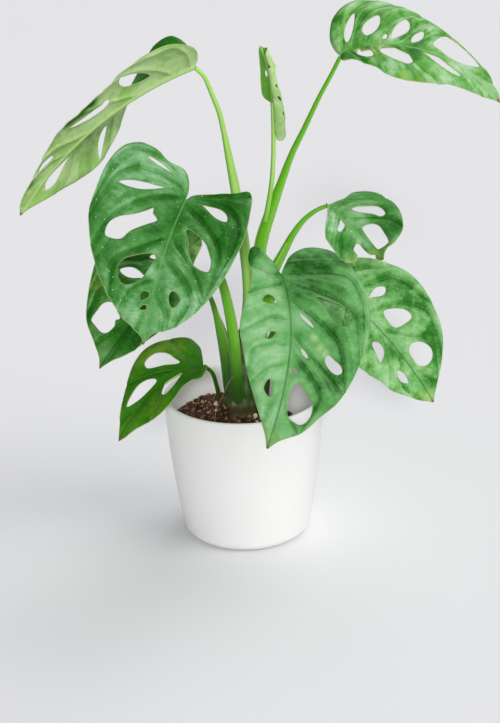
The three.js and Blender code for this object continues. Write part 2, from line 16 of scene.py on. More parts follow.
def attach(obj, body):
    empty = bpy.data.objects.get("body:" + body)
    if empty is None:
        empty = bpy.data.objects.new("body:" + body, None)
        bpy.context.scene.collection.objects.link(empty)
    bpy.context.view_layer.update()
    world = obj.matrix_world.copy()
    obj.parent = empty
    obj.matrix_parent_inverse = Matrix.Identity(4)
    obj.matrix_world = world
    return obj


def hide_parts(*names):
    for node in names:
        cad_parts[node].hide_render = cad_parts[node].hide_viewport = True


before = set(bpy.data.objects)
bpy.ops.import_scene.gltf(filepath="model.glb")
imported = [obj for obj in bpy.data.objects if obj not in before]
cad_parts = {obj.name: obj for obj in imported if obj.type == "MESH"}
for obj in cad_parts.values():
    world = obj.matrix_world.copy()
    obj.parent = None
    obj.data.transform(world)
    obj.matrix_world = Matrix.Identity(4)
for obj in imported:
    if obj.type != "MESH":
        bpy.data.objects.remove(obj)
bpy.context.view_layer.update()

bl_info = {
    "name": "Potted monstera adansonii",
    "version": (1, 0, 0),
    "blender": (4, 5, 0),
    "location": "3D View > Sidebar > Monstera",
    "description": "Draws a young monstera adansonii and its pot around the packed solids",
    "category": "Add Mesh",
}

MM = 0.001
FLAT_SCALE = 0.01  # the uv map "flat" holds millimetres of the flat drawing times this

# ---------------------------------------------------------------------------------------- leaves

# Each blade is drawn flat, then bent in space. The flat drawing has the distance along the midrib
# from the sinus first and the distance from the midrib second; left and right are as seen from the
# sinus with the upper face up. Outlines run from the sinus to the tip. A window is an oval [along,
# across, length, width, turn in degrees, bluntness of its inner end, bow] or a list of the points
# round it. In space the midrib starts at base with a heading, a pitch and a turn about itself, and
# goes on by bend (down, at the base and at the tip), sweep (sideways) and twist. fold lifts a half
# from the midrib at the base and at the tip, cup curves it across, curl turns its basal lobe down,
# and each roll [from along, to along, from across, degrees] turns a stretch of its margin. Veins are
# drawn on one half, from the midrib out. relief scales the relief of a blade, and brown_tip says
# whether its tip is brown. The patches of painted sheen and shade, and the yellow patches, are soft
# patches [along, across, radius, amount]; painted sheen above zero, painted shade below zero.

LEAVES = {
    "top_left": {
        "base": (-24, 10, 308), "heading": 199, "pitch": -15, "turn": 0, "length": 145,
        "bend": (51, 13), "twist": -58, "sweep": 30, "relief": 0.75,
        "left": {"fold": (50, -18), "cup": -11, "curl": -3, "edge": [
            (-3, 6), (-2, 16), (4, 26), (14, 37), (27, 40), (40, 37), (52, 30), (64, 28), (76, 29),
            (88, 26), (101, 21), (113, 15), (126, 11), (137, 6)], "veins": [
            [(2, 2), (4, 18), (12, 33), (24, 37)], [(15, 4), (24, 18), (34, 30), (44, 33)],
            [(41, 3), (54, 14), (64, 23)], [(76, 1), (84, 6), (94, 17), (102, 19)],
            [(95, 1), (104, 9), (116, 13)]]},
        "right": {"fold": (36, -27), "cup": -27, "curl": -3, "edge": [
            (-3, 8), (-4, 20), (-1, 32), (7, 42), (18, 47), (34, 48), (50, 45), (64, 43), (78, 39),
            (92, 33), (104, 25), (116, 16), (128, 9), (138, 3)], "veins": [
            [(2, 2), (2, 20), (10, 37), (24, 44)], [(16, 3), (28, 20), (42, 36), (56, 41)],
            [(40, 3), (54, 18), (68, 33), (82, 36)], [(73, 4), (83, 16), (96, 27), (104, 24)],
            [(90, 3), (106, 13), (120, 13)]]},
        "windows": [
            (36, -21, 26, 12, -57, 0.9, -0.5), (68, -16, 28, 8.5, -15, 0.5, -0.6),
            (106, -12, 13, 5, -9, 0.6, 0.4), (78, 28, 23, 6, 26, 0.7, 0.1),
            (107, 5, 31, 7, 2, 2.2, 0), (22, 26, 24, 7, 66, 1, 0), (44, 25, 20, 8, 50, 1, 0)],
        "sheen_and_shade": [(62, -25, 4.5, -1.3), (70, -26, 5, -1.3), (78, -26, 4.5, -1.3),
            (122, -11, 4, -1), (65, 27, 8, -0.4), (86, 16, 12, -0.35), (74, 8, 8, -0.3),
            (30, -32, 12, 0.5), (52, 35, 12, 0.5), (15, 22, 10, 0.3), (100, -10, 12, 0.2)],
    },
    "top_right": {
        "base": (65, -1, 314), "heading": -12, "pitch": 27, "turn": -12, "length": 108,
        "bend": (104, 53), "twist": -2, "sweep": 8,
        "left": {"fold": (28, -4), "cup": -12, "curl": -2, "edge": [
            (-3, 7), (-4, 17), (-1, 30), (6, 42), (15, 47), (28, 44), (40, 39), (54, 33), (68, 29),
            (80, 25), (91, 20), (101, 13), (106, 5)], "veins": [
            [(2, 1), (4, 15), (8, 33), (15, 43)], [(7, 2), (11, 18), (18, 35), (28, 42)],
            [(22, 2), (28, 16), (36, 32), (46, 36)], [(33, 1), (41, 13), (49, 31), (58, 31)],
            [(47, 1), (53, 17), (62, 28), (74, 27)], [(69, 1), (84, 4), (98, 12)]]},
        "right": {"fold": (28, -23), "cup": -29, "curl": 0, "edge": [
            (1.5, 4), (3, 9), (4.5, 18), (5, 28), (7.5, 33), (12, 31.5), (20, 35.5), (33, 41),
            (42, 40), (52, 35), (63, 28), (73, 21), (89, 13), (100, 6)], "veins": [
            [(2, 2), (10, 18), (16, 31)], [(20, 3), (24, 18), (28, 36)],
            [(40, 4), (48, 22), (62, 26)], [(68, 2), (80, 5), (92, 8)]]},
        "windows": [
            (8, -21, 26, 5, -78, 0.8, 0.1), (20, -19, 20, 9, -73, 0.8, 0.1),
            (35.5, -16, 23, 8, -73, 1, -0.3), (27.5, -8, 5.5, 2.6, -80, 0.6, 0.1),
            (46, -11, 15, 5.3, -70, 0.9, -0.1),
            [(55.5, -8), (57, -15), (60, -22), (64.5, -26), (72, -25), (81, -21.5),
             (86.5, -18), (86, -12.5), (80, -6), (73, -3), (66.5, -2.5), (60, -5)],
            [(10, 1), (13, 0), (18, 11), (22, 20), (22, 25.5), (18, 26.5), (12.5, 18)],
            [(25.5, 12), (26, 7), (30.5, 7), (37, 11.5), (43, 15), (45.5, 20), (43.5, 24.5),
             (38, 26), (31.5, 23), (27, 18)],
            [(51, 4.5), (56, 3), (61, 3.5), (68, 7), (76, 8.5), (76, 10.5), (68, 12.5),
             (60, 11.5), (54, 8.5)]],
        "sheen_and_shade": [(4, 14, 12, -1), (6, 26, 9, -0.8), (38, 5, 9, -0.6), (50, 9, 8, -0.6),
            (45, -9, 8, -0.5), (28, -22, 10, -0.3), (47, 27, 8, -0.5), (12, -10, 9, -0.5),
            (10, -42, 10, 0.7), (28, -37, 9, 0.5), (46, -31, 9, 0.4), (31, -3, 8, 0.5),
            (76, 1, 9, 0.7), (97, 0, 13, 0.7), (63, 25, 12, 0.6)],
        "yellow": [(24, 7, 4, 0.5), (25, 17, 4, 0.4), (42, 39, 3, 0.35), (52, 34, 3, 0.3),
            (62, 28, 3, 0.25), (70, -28, 4, 0.3)],
    },
    "new": {
        "base": (23.4, 4.5, 285.4), "heading": 0, "pitch": 91, "turn": -75, "length": 36.5,
        "bend": (5, -6), "twist": 0, "sweep": -20, "relief": 0.25, "brown_tip": False,
        "left": {"fold": (25, 30), "cup": 10, "curl": 0, "edge": [
            (2, 3), (6, 6), (14, 6), (22, 4.7), (29, 3.4), (34, 2)], "veins": [
            [(1, 1), (6, 6)], [(10, 1), (16, 6)], [(20, 1), (27, 5)]]},
        "right": {"fold": (-88, -88), "cup": 832, "curl": 0,
                  "rolls": [(-45, 5, 0, -60), (5, 55, 0, 70), (22, 60, 0, 110)], "edge": [
            (-6, 0.5), (-16, 0.7), (-19, 2), (-20, 4), (-19.5, 8), (-18.5, 11), (-20.8, 13.5),
            (-22.3, 16), (-22, 18.5), (-20, 19.9), (-12, 20.3), (0, 18), (8, 15.2),
            (16, 13), (22, 11.6), (27, 10.6), (31, 9), (33.2, 6), (34, 2)],
            "veins": [
                [(-2, 1), (-8, 9), (-10, 16)], [(6, 1), (6, 8), (8, 14)], [(16, 1), (22, 7)]]},
        "windows": [
            (19, -1.6, 5, 1.2, 0, 1, 0), (3.5, 11.6, 4, 1.8, 5, 1, 0),
            (-6, 12, 3.5, 1.5, 5, 1, 0), (11, 9, 3, 1.3, 5, 1, 0), (26, 6, 3.5, 1.2, 5, 1, 0)],
        "sheen_and_shade": [
            (-18, 17, 4, -0.6), (-11, 18, 4, -0.6), (-4, 17, 3.5, -0.5), (5, 14, 3, -0.5),
            (-8, 9, 5, 0.6), (12, 6, 5, 0.5), (24, 5, 5, 0.4)],
    },
    "front_left": {
        "base": (-31, -23, 234), "heading": -107, "pitch": -18, "turn": 22, "length": 121,
        "bend": (11, 12), "twist": 7, "sweep": -14,
        "left": {"fold": (23, -4), "cup": 13, "curl": -1, "edge": [
            (-4.5, 4), (-5, 20), (-4, 31), (-3.5, 39.5), (2, 43.5), (13, 45.5), (32, 45.5),
            (50, 42), (67, 37), (82, 31), (97, 22), (106, 13), (110, 6), (115, 2)], "veins": [
            [(-3, 2), (-2, 22), (0, 37)], [(-2, 2), (8, 27), (24, 40), (44, 40), (62, 35)],
            [(6, 1), (26, 20), (46, 32), (64, 33), (80, 29)], [(37, 1), (60, 18), (82, 29)],
            [(56, 1), (69, 15), (84, 22), (99, 18)], [(85, 1), (97, 9), (107, 10)]]},
        "right": {"fold": (30, 0), "cup": -7, "curl": -6, "edge": [
            (-8, 1), (-16, 5), (-19, 11), (-16.5, 19), (-16, 24), (-17.5, 31), (-14, 41),
            (-6, 47), (6, 52), (20, 53.5), (35, 52.5), (50, 51), (63, 46), (76, 39), (88, 32),
            (98, 23), (107, 15), (112, 7), (116, 2)], "veins": [
            [(-7, 1), (-14, 14), (-13, 30), (-4, 43), (12, 50), (30, 51)],
            [(-3, 1), (-4, 13), (4, 32), (20, 45), (42, 49)],
            [(0, 1), (20, 20), (42, 35), (66, 42)], [(40, 1), (58, 15), (74, 28), (88, 27)],
            [(75, 1), (86, 12), (102, 17)], [(94, 1), (103, 5), (110, 7)]]},
        "windows": [
            (-8, 25, 20, 4, 80, 1.5, 0), (15, 28, 34, 5.5, 55, 1.6, 0.2),
            [(60, 37), (52, 37.5), (45, 33.5), (37, 25), (30, 19.5), (25.5, 16.5), (29.5, 15.5),
             (31, 12.5), (33.5, 12), (41, 17.5), (50, 24), (58, 27.5), (60.5, 32)],
            [(80, 23), (74, 24), (68, 21), (62, 14.5), (57.5, 9), (56.5, 6), (59, 4),
             (63.5, 5.5), (70, 7), (77, 9), (83, 13), (86, 18), (84, 21.5)],
            (88, 5, 9, 4.6, 25, 0.7, -0.2), (96, 4, 6, 2.9, 34, 0.9, 0.2),
            (13, -22, 26, 7, -51, 1.5, 0.2),
            [(31, -8.5), (29, -10), (33.5, -16.5), (40, -22.5), (50, -27.5), (59.5, -28.5),
             (61, -25), (57, -18.5), (48, -14), (39, -12)],
            (85, -12, 12.5, 6.5, -7, 0.9, 0.3)],
        "sheen_and_shade": [(-8, 18, 15, 0.8), (-4, 40, 14, 0.6), (12, 46, 10, 0.5), (30, 36, 12, 0.3),
            (86, -18, 11, 0.7), (98, -10, 10, 0.6), (70, 4, 6, 0.8), (56, 2, 5, 0.4),
            (60, -31, 8, 0.3), (104, 9, 8, 0.4), (5, -25, 18, -0.8), (20, -8, 14, -0.6),
            (32, -40, 12, -0.9), (45, -36, 9, -0.6), (22, 6, 10, -0.4), (44, 12, 9, -0.5),
            (62, 14, 7, -0.6), (75, 31, 11, -0.7), (54, 45, 10, -0.5), (72, -8, 8, -0.3)],
    },
    "front_right": {
        "base": (26, -12, 181), "heading": -73, "pitch": -28, "turn": 27, "length": 119,
        "bend": (65, 42), "twist": -34, "sweep": 20,
        "left": {"fold": (28, 2), "cup": -2, "curl": 1, "rolls": [(2, 62, 41, -35)], "edge": [
            (-6, 4), (-14, 11), (-18, 22), (-15, 34), (-7, 42), (6, 47), (22, 50), (36, 50),
            (50, 46), (66, 41), (81, 34), (92, 25), (103, 17), (111, 6)], "veins": [
            [(1, 2), (2, 20), (8, 41), (26, 47), (40, 46)], [(7, 2), (18, 23), (30, 39), (48, 43)],
            [(21, 1), (35, 16), (50, 30), (68, 35)], [(46, 1), (60, 15), (74, 31)],
            [(57, 1), (71, 15), (82, 23), (94, 20)], [(85, 1), (94, 5), (103, 13)]]},
        "right": {"fold": (23, -21), "cup": -6, "curl": 2, "rolls": [(-12, 14, 27, -75)], "edge": [
            (-1, 8), (-4.5, 15), (-7, 21), (-6.5, 27), (-3, 32), (2, 34), (7, 33.6), (11, 32),
            (18, 32.5), (31, 34), (45, 35), (60, 30), (75, 24), (89, 17), (101, 10), (112, 3)], "veins": [
            [(3, 2), (8, 16), (8, 27)], [(9, 1), (16, 14), (24, 29)],
            [(36, 1), (38, 15), (48, 29)], [(53, 1), (54, 12), (60, 23), (70, 25)],
            [(65, 1), (69, 11), (78, 18)], [(82, 1), (90, 6), (98, 8)]]},
        "windows": [
            (27, 17, 11, 6, 79, 0.9, -0.4), (49, 14, 9, 4.1, 53, 1.3, 0),
            (82, 9, 12, 4.9, -16, 1, -0.4), (36, -10, 13, 2.6, -43, 1, 0),
            (57, -9, 8, 2.2, -40, 1, 0), (69, -4, 6, 3, -73, 1.2, 0.2),
            [(75.5, -7), (79, -4.5), (88, -4), (95.5, -6), (98, -10.5), (98.5, -15), (95, -18.5),
             (90, -19.5), (85.5, -18.5), (80.5, -14.5), (76.5, -10)],
            [(20, -18), (22, -24), (25, -31.5), (29, -37), (34.5, -38.5), (38.5, -35.5),
             (38.5, -30), (34.5, -25.5), (27, -21.5)],
            [(56.5, -23.5), (59.5, -28.5), (61.8, -32), (65, -33), (66.8, -30), (64.8, -25.5),
             (60.5, -22)]],
        "sheen_and_shade": [(10, 20, 15, 0.5), (35, 15, 17, 0.6), (56, 20, 13, 0.5), (76, 9, 12, 0.5),
            (96, 5, 10, 0.6), (60, 4, 8, 0.4), (36, -6, 6, 0.5), (14, -41, 9, 0.3),
            (94, -24, 6, 0.3), (-5, -10, 10, -0.8), (4, -24, 15, -0.6), (18, -8, 10, -0.9),
            (46, -25, 9, -0.7), (60, -33, 8, -0.6), (73, -29, 9, -0.8), (86, -26, 7, -0.6),
            (67, -8, 7, -0.7), (62, -8, 5, -0.4), (-1, 31, 6, -1.2), (35, -45, 7, -0.3),
            (48, -14, 2.2, 0.9), (53, -18, 2.4, 0.9), (57, -22, 2.6, 0.9),
            (-4, 30, 2.2, -1.6), (0, 32.5, 3, -2), (5, 33.5, 3, -1.8)],
        "yellow": [(47, -13.5, 1.5, 0.25), (50, -15.7, 1.6, 0.3), (53, -18, 1.8, 0.25),
            (56, -21, 2, 0.25), (112, 0, 6, 0.2)],
    },
    "mid_left": {
        "base": (-31, 6, 195), "heading": -128, "pitch": -27, "turn": 11, "length": 104,
        "bend": (4, 16), "twist": 10, "sweep": -1,
        "left": {"fold": (14, 14), "cup": -7, "curl": 0, "edge": [
            (-11, 0.5), (-9.5, 2.5), (-6, 6), (0, 9.3), (6, 11.3), (13, 13), (26, 19),
            (42, 25), (56, 26), (68, 22), (80, 17), (91, 10), (98, 4)], "veins": [
            [(-2, 2), (-4, 14), (6, 22)], [(6, 2), (26, 16), (40, 26)],
            [(30, 2), (50, 18), (62, 24)], [(54, 2), (68, 12), (80, 14)]]},
        "right": {"fold": (13, 17), "cup": -7, "curl": 0, "edge": [
            (-11, 0.5), (-13, 5), (-11, 12), (-7, 18), (1, 23), (8, 29), (15, 36), (26, 42),
            (40, 43), (54, 38), (69, 31), (82, 23), (92, 11), (98, 4)], "veins": [
            [(-2, 2), (-6, 20), (2, 36), (18, 42)], [(8, 2), (24, 20), (38, 36), (54, 35)],
            [(34, 2), (50, 14), (56, 30), (70, 28)], [(62, 2), (78, 6), (90, 10)]]},
        "windows": [
            [(79.5, 21), (73, 21.5), (66.5, 21), (63, 17), (66, 11), (69.5, 7), (72, 8.5),
             (76, 7), (82, 8.5), (83.5, 12), (81.5, 17.5)],
            (38, 18, 17, 8, 77, 1.3, -0.1), (19.5, 14, 6, 3.2, 60, 1.1, 0),
            (26, -9, 12, 5, -50, 1.1, 0)],
        "sheen_and_shade": [(75, -5, 12, -0.9), (60, -15, 12, -0.5), (92, 3, 8, 0.8), (84, 17, 7, 0.3),
            (56, 34, 8, 0.3), (3, -3, 8, 0.7), (66, 10, 7, -0.4)],
        "yellow": [(2, -6, 7, 0.25), (58, 34, 6, 0.15)],
    },
    "mid_right": {
        "base": (60, 10, 163), "heading": -38, "pitch": -25, "turn": -11, "length": 102,
        "bend": (45, 58), "twist": -25, "sweep": -5,
        "left": {"fold": (6, 20), "cup": -5, "curl": 0, "edge": [
            (-9, 9), (-12, 20), (-8, 31), (1, 41), (14, 44), (30, 44), (44, 41), (57, 36),
            (68, 30), (78, 22), (88, 12), (96, 4)], "veins": [
            [(1, 2), (-2, 20), (8, 38)], [(10, 3), (14, 22), (22, 36), (40, 38)],
            [(28, 3), (36, 22), (50, 33), (65, 28)], [(42, 1), (56, 12), (66, 24), (78, 18)],
            [(72, 1), (80, 4), (88, 8)]]},
        "right": {"fold": (14, 13), "cup": -6, "curl": 0, "edge": [
            (-9, 8), (-12, 18), (-7, 30), (6, 37), (22, 39), (38, 37), (51, 33), (64, 27),
            (75, 22), (84, 15), (93, 8), (98, 3)], "veins": [
            [(1, 2), (0, 18), (12, 34)], [(14, 2), (28, 25), (44, 32)],
            [(33, 1), (46, 19), (54, 28)], [(44, 1), (60, 13), (70, 22)],
            [(62, 1), (76, 14), (86, 12)]]},
        "windows": [
            (22, -17, 15, 7, -83, 1.6, -0.1),
            [(34, -11), (37.5, -18), (43, -22.3), (48.5, -21.5), (48.5, -14), (46.5, -8.5),
             (40, -7.8)], (51, 14, 14, 7.5, 34, 0.6, 0.5), (73, 10, 11, 6, -11, 0.8, -0.1),
            [(63.5, -5.5), (60.8, -10), (64.5, -16), (71, -18), (76, -15), (77.5, -9.5),
             (74.5, -5), (69, -4.7)]],
        "sheen_and_shade": [(32, -30, 10, -0.9), (49, -32, 9, -0.9), (68, -19, 7, -0.8), (20, -27, 8, -0.5),
            (56, 8, 7, -0.9), (88, -6, 6, -0.8), (76, 13, 6, -0.4), (24, 12, 8, -0.6),
            (-4, 30, 8, -0.7), (38, 30, 6, -0.5), (-4, 9, 10, 0.9), (12, -41, 9, 0.5),
            (35, -43, 7, 0.5), (62, -36, 7, 0.4), (44, 0, 8, 0.5), (62, 20, 9, 0.5), (84, 6, 7, 0.5),
            (96, 0, 7, 0.7)],
        "yellow": [(-7, -28, 4, 0.3), (91, 5, 3.5, 0.35), (97, 0, 5, 0.3)],
    },
    "low_left": {
        "base": (-25, -13, 121), "heading": -161, "pitch": 1, "turn": -2, "length": 77,
        "bend": (105, 21), "twist": 18, "sweep": 2, "relief": 0.6,
        "left": {"fold": (17, -4), "cup": -14, "curl": 0, "edge": [
            (0, 9), (4, 20), (7, 26), (9.5, 28.5), (12.5, 26), (15.5, 22.5), (20, 22), (28, 25),
            (37, 25), (46, 21.5), (55, 14.5), (63, 9), (71, 4.5)], "veins": [
            [(3, 2), (10, 18), (18, 22)], [(26, 1), (38, 12), (48, 16)]]},
        "right": {"fold": (19, -1), "cup": 8, "curl": 0, "edge": [
            (-2, 9), (-3, 18), (1, 27), (9, 31), (23, 34), (34, 31), (44, 25), (54, 18),
            (64, 11), (72, 4)], "veins": [
            [(1, 2), (8, 16), (10, 28)], [(14, 2), (30, 13), (46, 22)], [(50, 1), (64, 7)]]},
        "windows": [
            [(30, 24.5), (25, 26), (20.5, 25), (16, 20.5), (14, 14), (12.5, 9), (15, 8.5),
             (22, 13), (28, 16.5), (31, 20)],
            [(56.5, 10), (50, 12.7), (42, 14), (36, 12.3), (31.5, 8.5), (31.5, 5), (38, 3.8),
             (46, 4.3), (53, 7)],
            [(33, -10.5), (30.5, -5.5), (27, -1), (21, -0.7), (16, -1), (15.5, -4.5),
             (19.5, -10), (25.5, -14.2), (31.5, -14.5)]],
        "sheen_and_shade": [(68, 2, 10, 0.7), (46, -12, 8, 0.4), (6, -11, 9, 0.35), (32, 9, 9, -0.6),
            (16, -13, 8, -0.4), (58, -3, 8, 0.3)],
        "yellow": [(14, 25, 10, 0.2), (28, 28, 8, 0.2), (40, -16, 8, 0.15)],
    },
    "small_right": {
        "base": (56, 0, 221), "heading": -37, "pitch": -32, "turn": -2, "length": 64,
        "bend": (-13, -77), "twist": -47, "sweep": 30,
        "left": {"fold": (10, 7), "cup": -10, "curl": 0, "edge": [
            (1, 7), (2, 15), (1.5, 22), (3, 28), (7, 34), (13, 36), (20, 35), (28, 32),
            (40, 26), (50, 19.5), (57, 12), (56.5, 7), (59, 3)], "veins": [
            [(3, 2), (4, 18), (12, 32)], [(14, 2), (28, 20), (40, 23)]]},
        "right": {"fold": (35, -11), "cup": 14, "curl": 0, "edge": [
            (0, 5), (8, 15), (18, 23), (25, 25.5), (31, 24.5), (40, 22), (47.5, 19), (49.5, 14),
            (46.5, 11), (41.5, 11), (38.5, 8.5), (37, 6), (40, 5), (46, 5), (51, 4), (53, 2),
            (57, 3), (61, 2)], "veins": [
            [(3, 2), (10, 14), (20, 21)], [(18, 2), (30, 14), (40, 20)], [(36, 2), (48, 10)]]},
        "windows": [
            [(11, -10.5), (12, -15), (15.5, -20.5), (18.5, -24), (23, -24.5), (27, -22.5),
             (26.5, -19.5), (22, -17), (18, -13.5), (14, -10.5)],
            [(27.5, -4.5), (27, -8), (29, -11.5), (33, -13), (41, -11.5), (51, -9.5),
             (53, -7.5), (51, -2.5), (48.5, -1.5), (41.5, -2), (33.5, -3)],
            [(12.5, 1.2), (16.5, 1.3), (20, 4.5), (23.5, 9.5), (25, 13), (23, 14), (19, 9.5),
             (14.5, 4)], (26, 3, 2.2, 1.8, 0, 1, 0)],
        "sheen_and_shade": [(8, 9, 8, 0.6), (21, 19, 8, 0.7), (20, -7, 6, 0.5), (40, 2, 6, 0.6),
            (47, 16, 5, 0.4), (26, -20, 9, -0.9), (44, -18, 10, -0.9), (34, 14, 8, -0.7),
            (3, -9, 8, -0.5), (54, -5, 5, -0.4)],
        "yellow": [(47, 17, 3.5, 0.3), (52, 2, 4.5, 0.4), (56, -4, 4, 0.25)],
    },
}

# Linear colours of each blade: upper face, its darker ground, which also serves as painted shade,
# its pale colour of painted sheen, and the under face.
GREENS = {
    # The top left under face is lighter than the rest, partly as painted glow of light through it.
    "top_left": ((0.018, 0.190, 0.003), (0.008, 0.110, 0.001), (0.070, 0.330, 0.030),
                 (0.320, 0.560, 0.150)),
    "top_right": ((0.120, 0.390, 0.055), (0.010, 0.170, 0.000), (0.430, 0.640, 0.380),
                  (0.230, 0.430, 0.090)),
    "new": ((0.075, 0.270, 0.012), (0.150, 0.400, 0.060), (0.120, 0.330, 0.040),
            (0.400, 0.620, 0.220)),
    "front_left": ((0.050, 0.240, 0.036), (0.005, 0.110, 0.000), (0.280, 0.540, 0.280),
                   (0.170, 0.340, 0.080)),
    "front_right": ((0.120, 0.380, 0.100), (0.004, 0.110, 0.000), (0.330, 0.590, 0.310),
                    (0.170, 0.340, 0.080)),
    "mid_left": ((0.028, 0.180, 0.010), (0.003, 0.085, 0.000), (0.200, 0.430, 0.160),
                 (0.150, 0.310, 0.060)),
    "mid_right": ((0.155, 0.425, 0.110), (0.014, 0.170, 0.003), (0.390, 0.650, 0.330),
                  (0.160, 0.340, 0.060)),
    "low_left": ((0.032, 0.185, 0.000), (0.014, 0.115, 0.000), (0.100, 0.340, 0.006),
                 (0.150, 0.320, 0.050)),
    "small_right": ((0.090, 0.320, 0.065), (0.006, 0.145, 0.001), (0.420, 0.670, 0.400),
                    (0.160, 0.340, 0.060)),
}

# The finish of a blade, and what sets some blades apart from it.
USUAL_TRAITS = {
    # The relief share is how much painted light and shade follow the slope of the relief.
    "Vein strength": 0.15, "Mottling": 0.55, "Speckles": 0.0, "Relief light and shade": 0.5, "Streaks": 0.25,
    "Specular": 0.22,
}
TRAITS = {
    "front_left": {"Speckles": 1.0, "Midrib": (0.11, 0.33, 0.08)},
    "front_right": {"Speckles": 0.2, "Midrib": (0.012, 0.110, 0.008), "Streaks": 0.1},
    "top_right": {"Midrib": (0.25, 0.50, 0.22), "Streaks": 0.5, "Mottling": 0.9},
    "mid_left": {"Midrib": (0.010, 0.090, 0.005)},
    "mid_right": {"Midrib": (0.014, 0.110, 0.008), "Mottling": 1.3, "Streaks": 0.1},
    "low_left": {"Midrib": (0.020, 0.120, 0.005), "Mottling": 0.5, "Specular": 0.10},
    "small_right": {"Midrib": (0.16, 0.42, 0.12)},
    "new": {"Vein strength": 0.1, "Midrib": (0.55, 0.68, 0.28), "Mottling": 0.4},
}

# Stations [x, y, z, radius] of each stalk, from the crown to its blade.
STALKS = {
    "top_left": [
        (-4, 12, 79, 3.6), (1.5, 14.3, 128, 3.7), (5, 15.5, 158, 3.5), (3, 15, 194, 3.4),
        (-1, 14, 227, 3), (-4.5, 13.5, 250, 2.3), (-7, 13, 266, 1.7), (-9.5, 12.5, 279, 1.6),
        (-13.5, 12, 290.5, 1.5), (-18, 11, 302, 1.4), (-23, 10, 307.5, 1.4)],
    "top_right": [
        (6.5, 10.5, 79, 3.7), (9.5, 8.5, 149, 3.9), (11.5, 8, 177, 3.9), (15, 7.5, 198, 3.9),
        (21.5, 6.5, 218, 3.4), (27, 6, 233, 2.7), (34.5, 4.5, 253, 2), (42.5, 3, 269.5, 1.7),
        (52.5, 1, 290.5, 1.4), (59, 0, 302.5, 1.3), (64.6, -1, 313.6, 1.3)],
    "new": [
        (16.7, 2.1, 211, 1.6), (18.6, 1.8, 219, 1.6), (21.5, 1.6, 235, 1.5), (23, 2, 251, 1.4),
        (23.5, 3, 269, 1.3), (23.4, 4.5, 285.4, 1.2)],
    "front_left": [
        (-3.5, -7.5, 79, 3.8), (-4, -10, 104, 3.8), (-4.5, -12.5, 128, 3.6), (-6, -14, 148.5, 3.5),
        (-9.5, -17, 172, 3.1), (-13, -19.5, 186, 2.6), (-18, -20.5, 205, 2),
        (-23.5, -21, 224, 1.7), (-30, -22.5, 232.5, 1.6)],
    "front_right": [
        (2, -4.5, 79, 3.4), (7, -8.5, 105, 3.3), (13, -11.5, 140, 3),
        (18.5, -12.5, 160.5, 2.4), (22.5, -12.7, 173, 2), (25.5, -12, 180, 1.8)],
    "mid_left": [
        (-6.5, 2.5, 79, 4), (-8.8, 3.5, 100, 4.4), (-10.6, 4, 121, 4.3), (-13, 4, 136, 3.5),
        (-15.8, 4, 148, 2.1),
        (-19.5, 4.5, 161, 1.6), (-28, 7, 173, 1.5), (-33, 8, 184, 1.4), (-31, 6.3, 194.5, 1.4)],
    "mid_right": [
        (12.5, 3.5, 79, 3.4), (14, 3.5, 99, 3.4), (18, 5.5, 126, 3), (27.5, 7, 146.5, 2.2),
        (41.5, 8, 160.5, 1.8), (52.5, 9, 164.5, 1.6), (59.5, 10, 162.5, 1.6)],
    "low_left": [
        (-15.8, 11, 79, 1.6), (-16.3, 8, 90, 1.5), (-17.8, 0, 103, 1.4),
        (-20, -8, 114, 1.3), (-24.5, -13, 120.5, 1.2)],
    "small_right": [
        (11, -4, 79, 3.2), (11.5, -4, 102, 3.3), (13, -4, 134, 3.4), (16, -4, 161, 3.5),
        (21.8, -3.5, 180, 3.3), (27.7, -2.5, 191.5, 2.7), (34, -2, 203, 2.1), (42, -1, 213, 1.6),
        (49.5, -1, 218.5, 1.4), (55, 0, 220.5, 1.3)],
}

# Where each stalk's sheath ends (share of its length), the side that its open edge faces, as an
# angle from +X towards +Y, how pale the stalk is, and the height down to which its lips are pale.
# Paleness above zero lightens a stalk, and more on its +X side, which is painted light; the top left
# stalk's paleness also paints light over the shade of the blades in front of it.
SHEATHS = {
    "top_left": (0.66, -40, 0.75, 90), "top_right": (0.60, 200, 0, 140), "new": (0.0, 0, 0.9, 205),
    "front_left": (0.55, -5, 0, 125), "front_right": (0.65, 200, 0, 140),
    "mid_left": (0.55, 10, -0.35, 96), "mid_right": (0.55, 120, 0, 140),
    "low_left": (0.0, 0, -0.6, 0), "small_right": (0.62, 150, 0, 140),
}

STEM = [(0, 0, 62, 6), (-1.5, -2.5, 78, 10.4), (-1.5, -3, 92, 10.4), (-1, -2.5, 104, 9.4),
        (0, -1, 118, 7.6), (1.5, 0, 132, 5.6), (2, 1, 144, 2.6)]

AERIAL_ROOT = [
    (-6.5, -16.8, 114, 0.224), (-9, -18, 111, 0.224), (-11.5, -19, 106, 0.224),
    (-15.5, -20, 97.5, 0.192), (-18, -21, 92, 0.192), (-19, -22, 84.5, 0.192),
    (-19, -22, 78, 0.16)]

# ---------------------------------------------------------------------------------------- settings


def length(name, description, default):
    """A size in metres."""
    return bpy.props.FloatProperty(
        name=name, description=description, default=default, min=0.0, unit="LENGTH", precision=4)


def colour(name, description, default):
    """A linear colour."""
    return bpy.props.FloatVectorProperty(
        name=name, description=description, default=default, size=3, min=0.0, max=1.0,
        subtype="COLOR")


def share(name, description, default):
    """A number from 0 to 1."""
    return bpy.props.FloatProperty(
        name=name, description=description, default=default, min=0.0, max=1.0, subtype="FACTOR")


def angle(name, description, degrees):
    """An angle, given here in degrees."""
    return bpy.props.FloatProperty(
        name=name, description=description, default=math.radians(degrees), subtype="ANGLE")


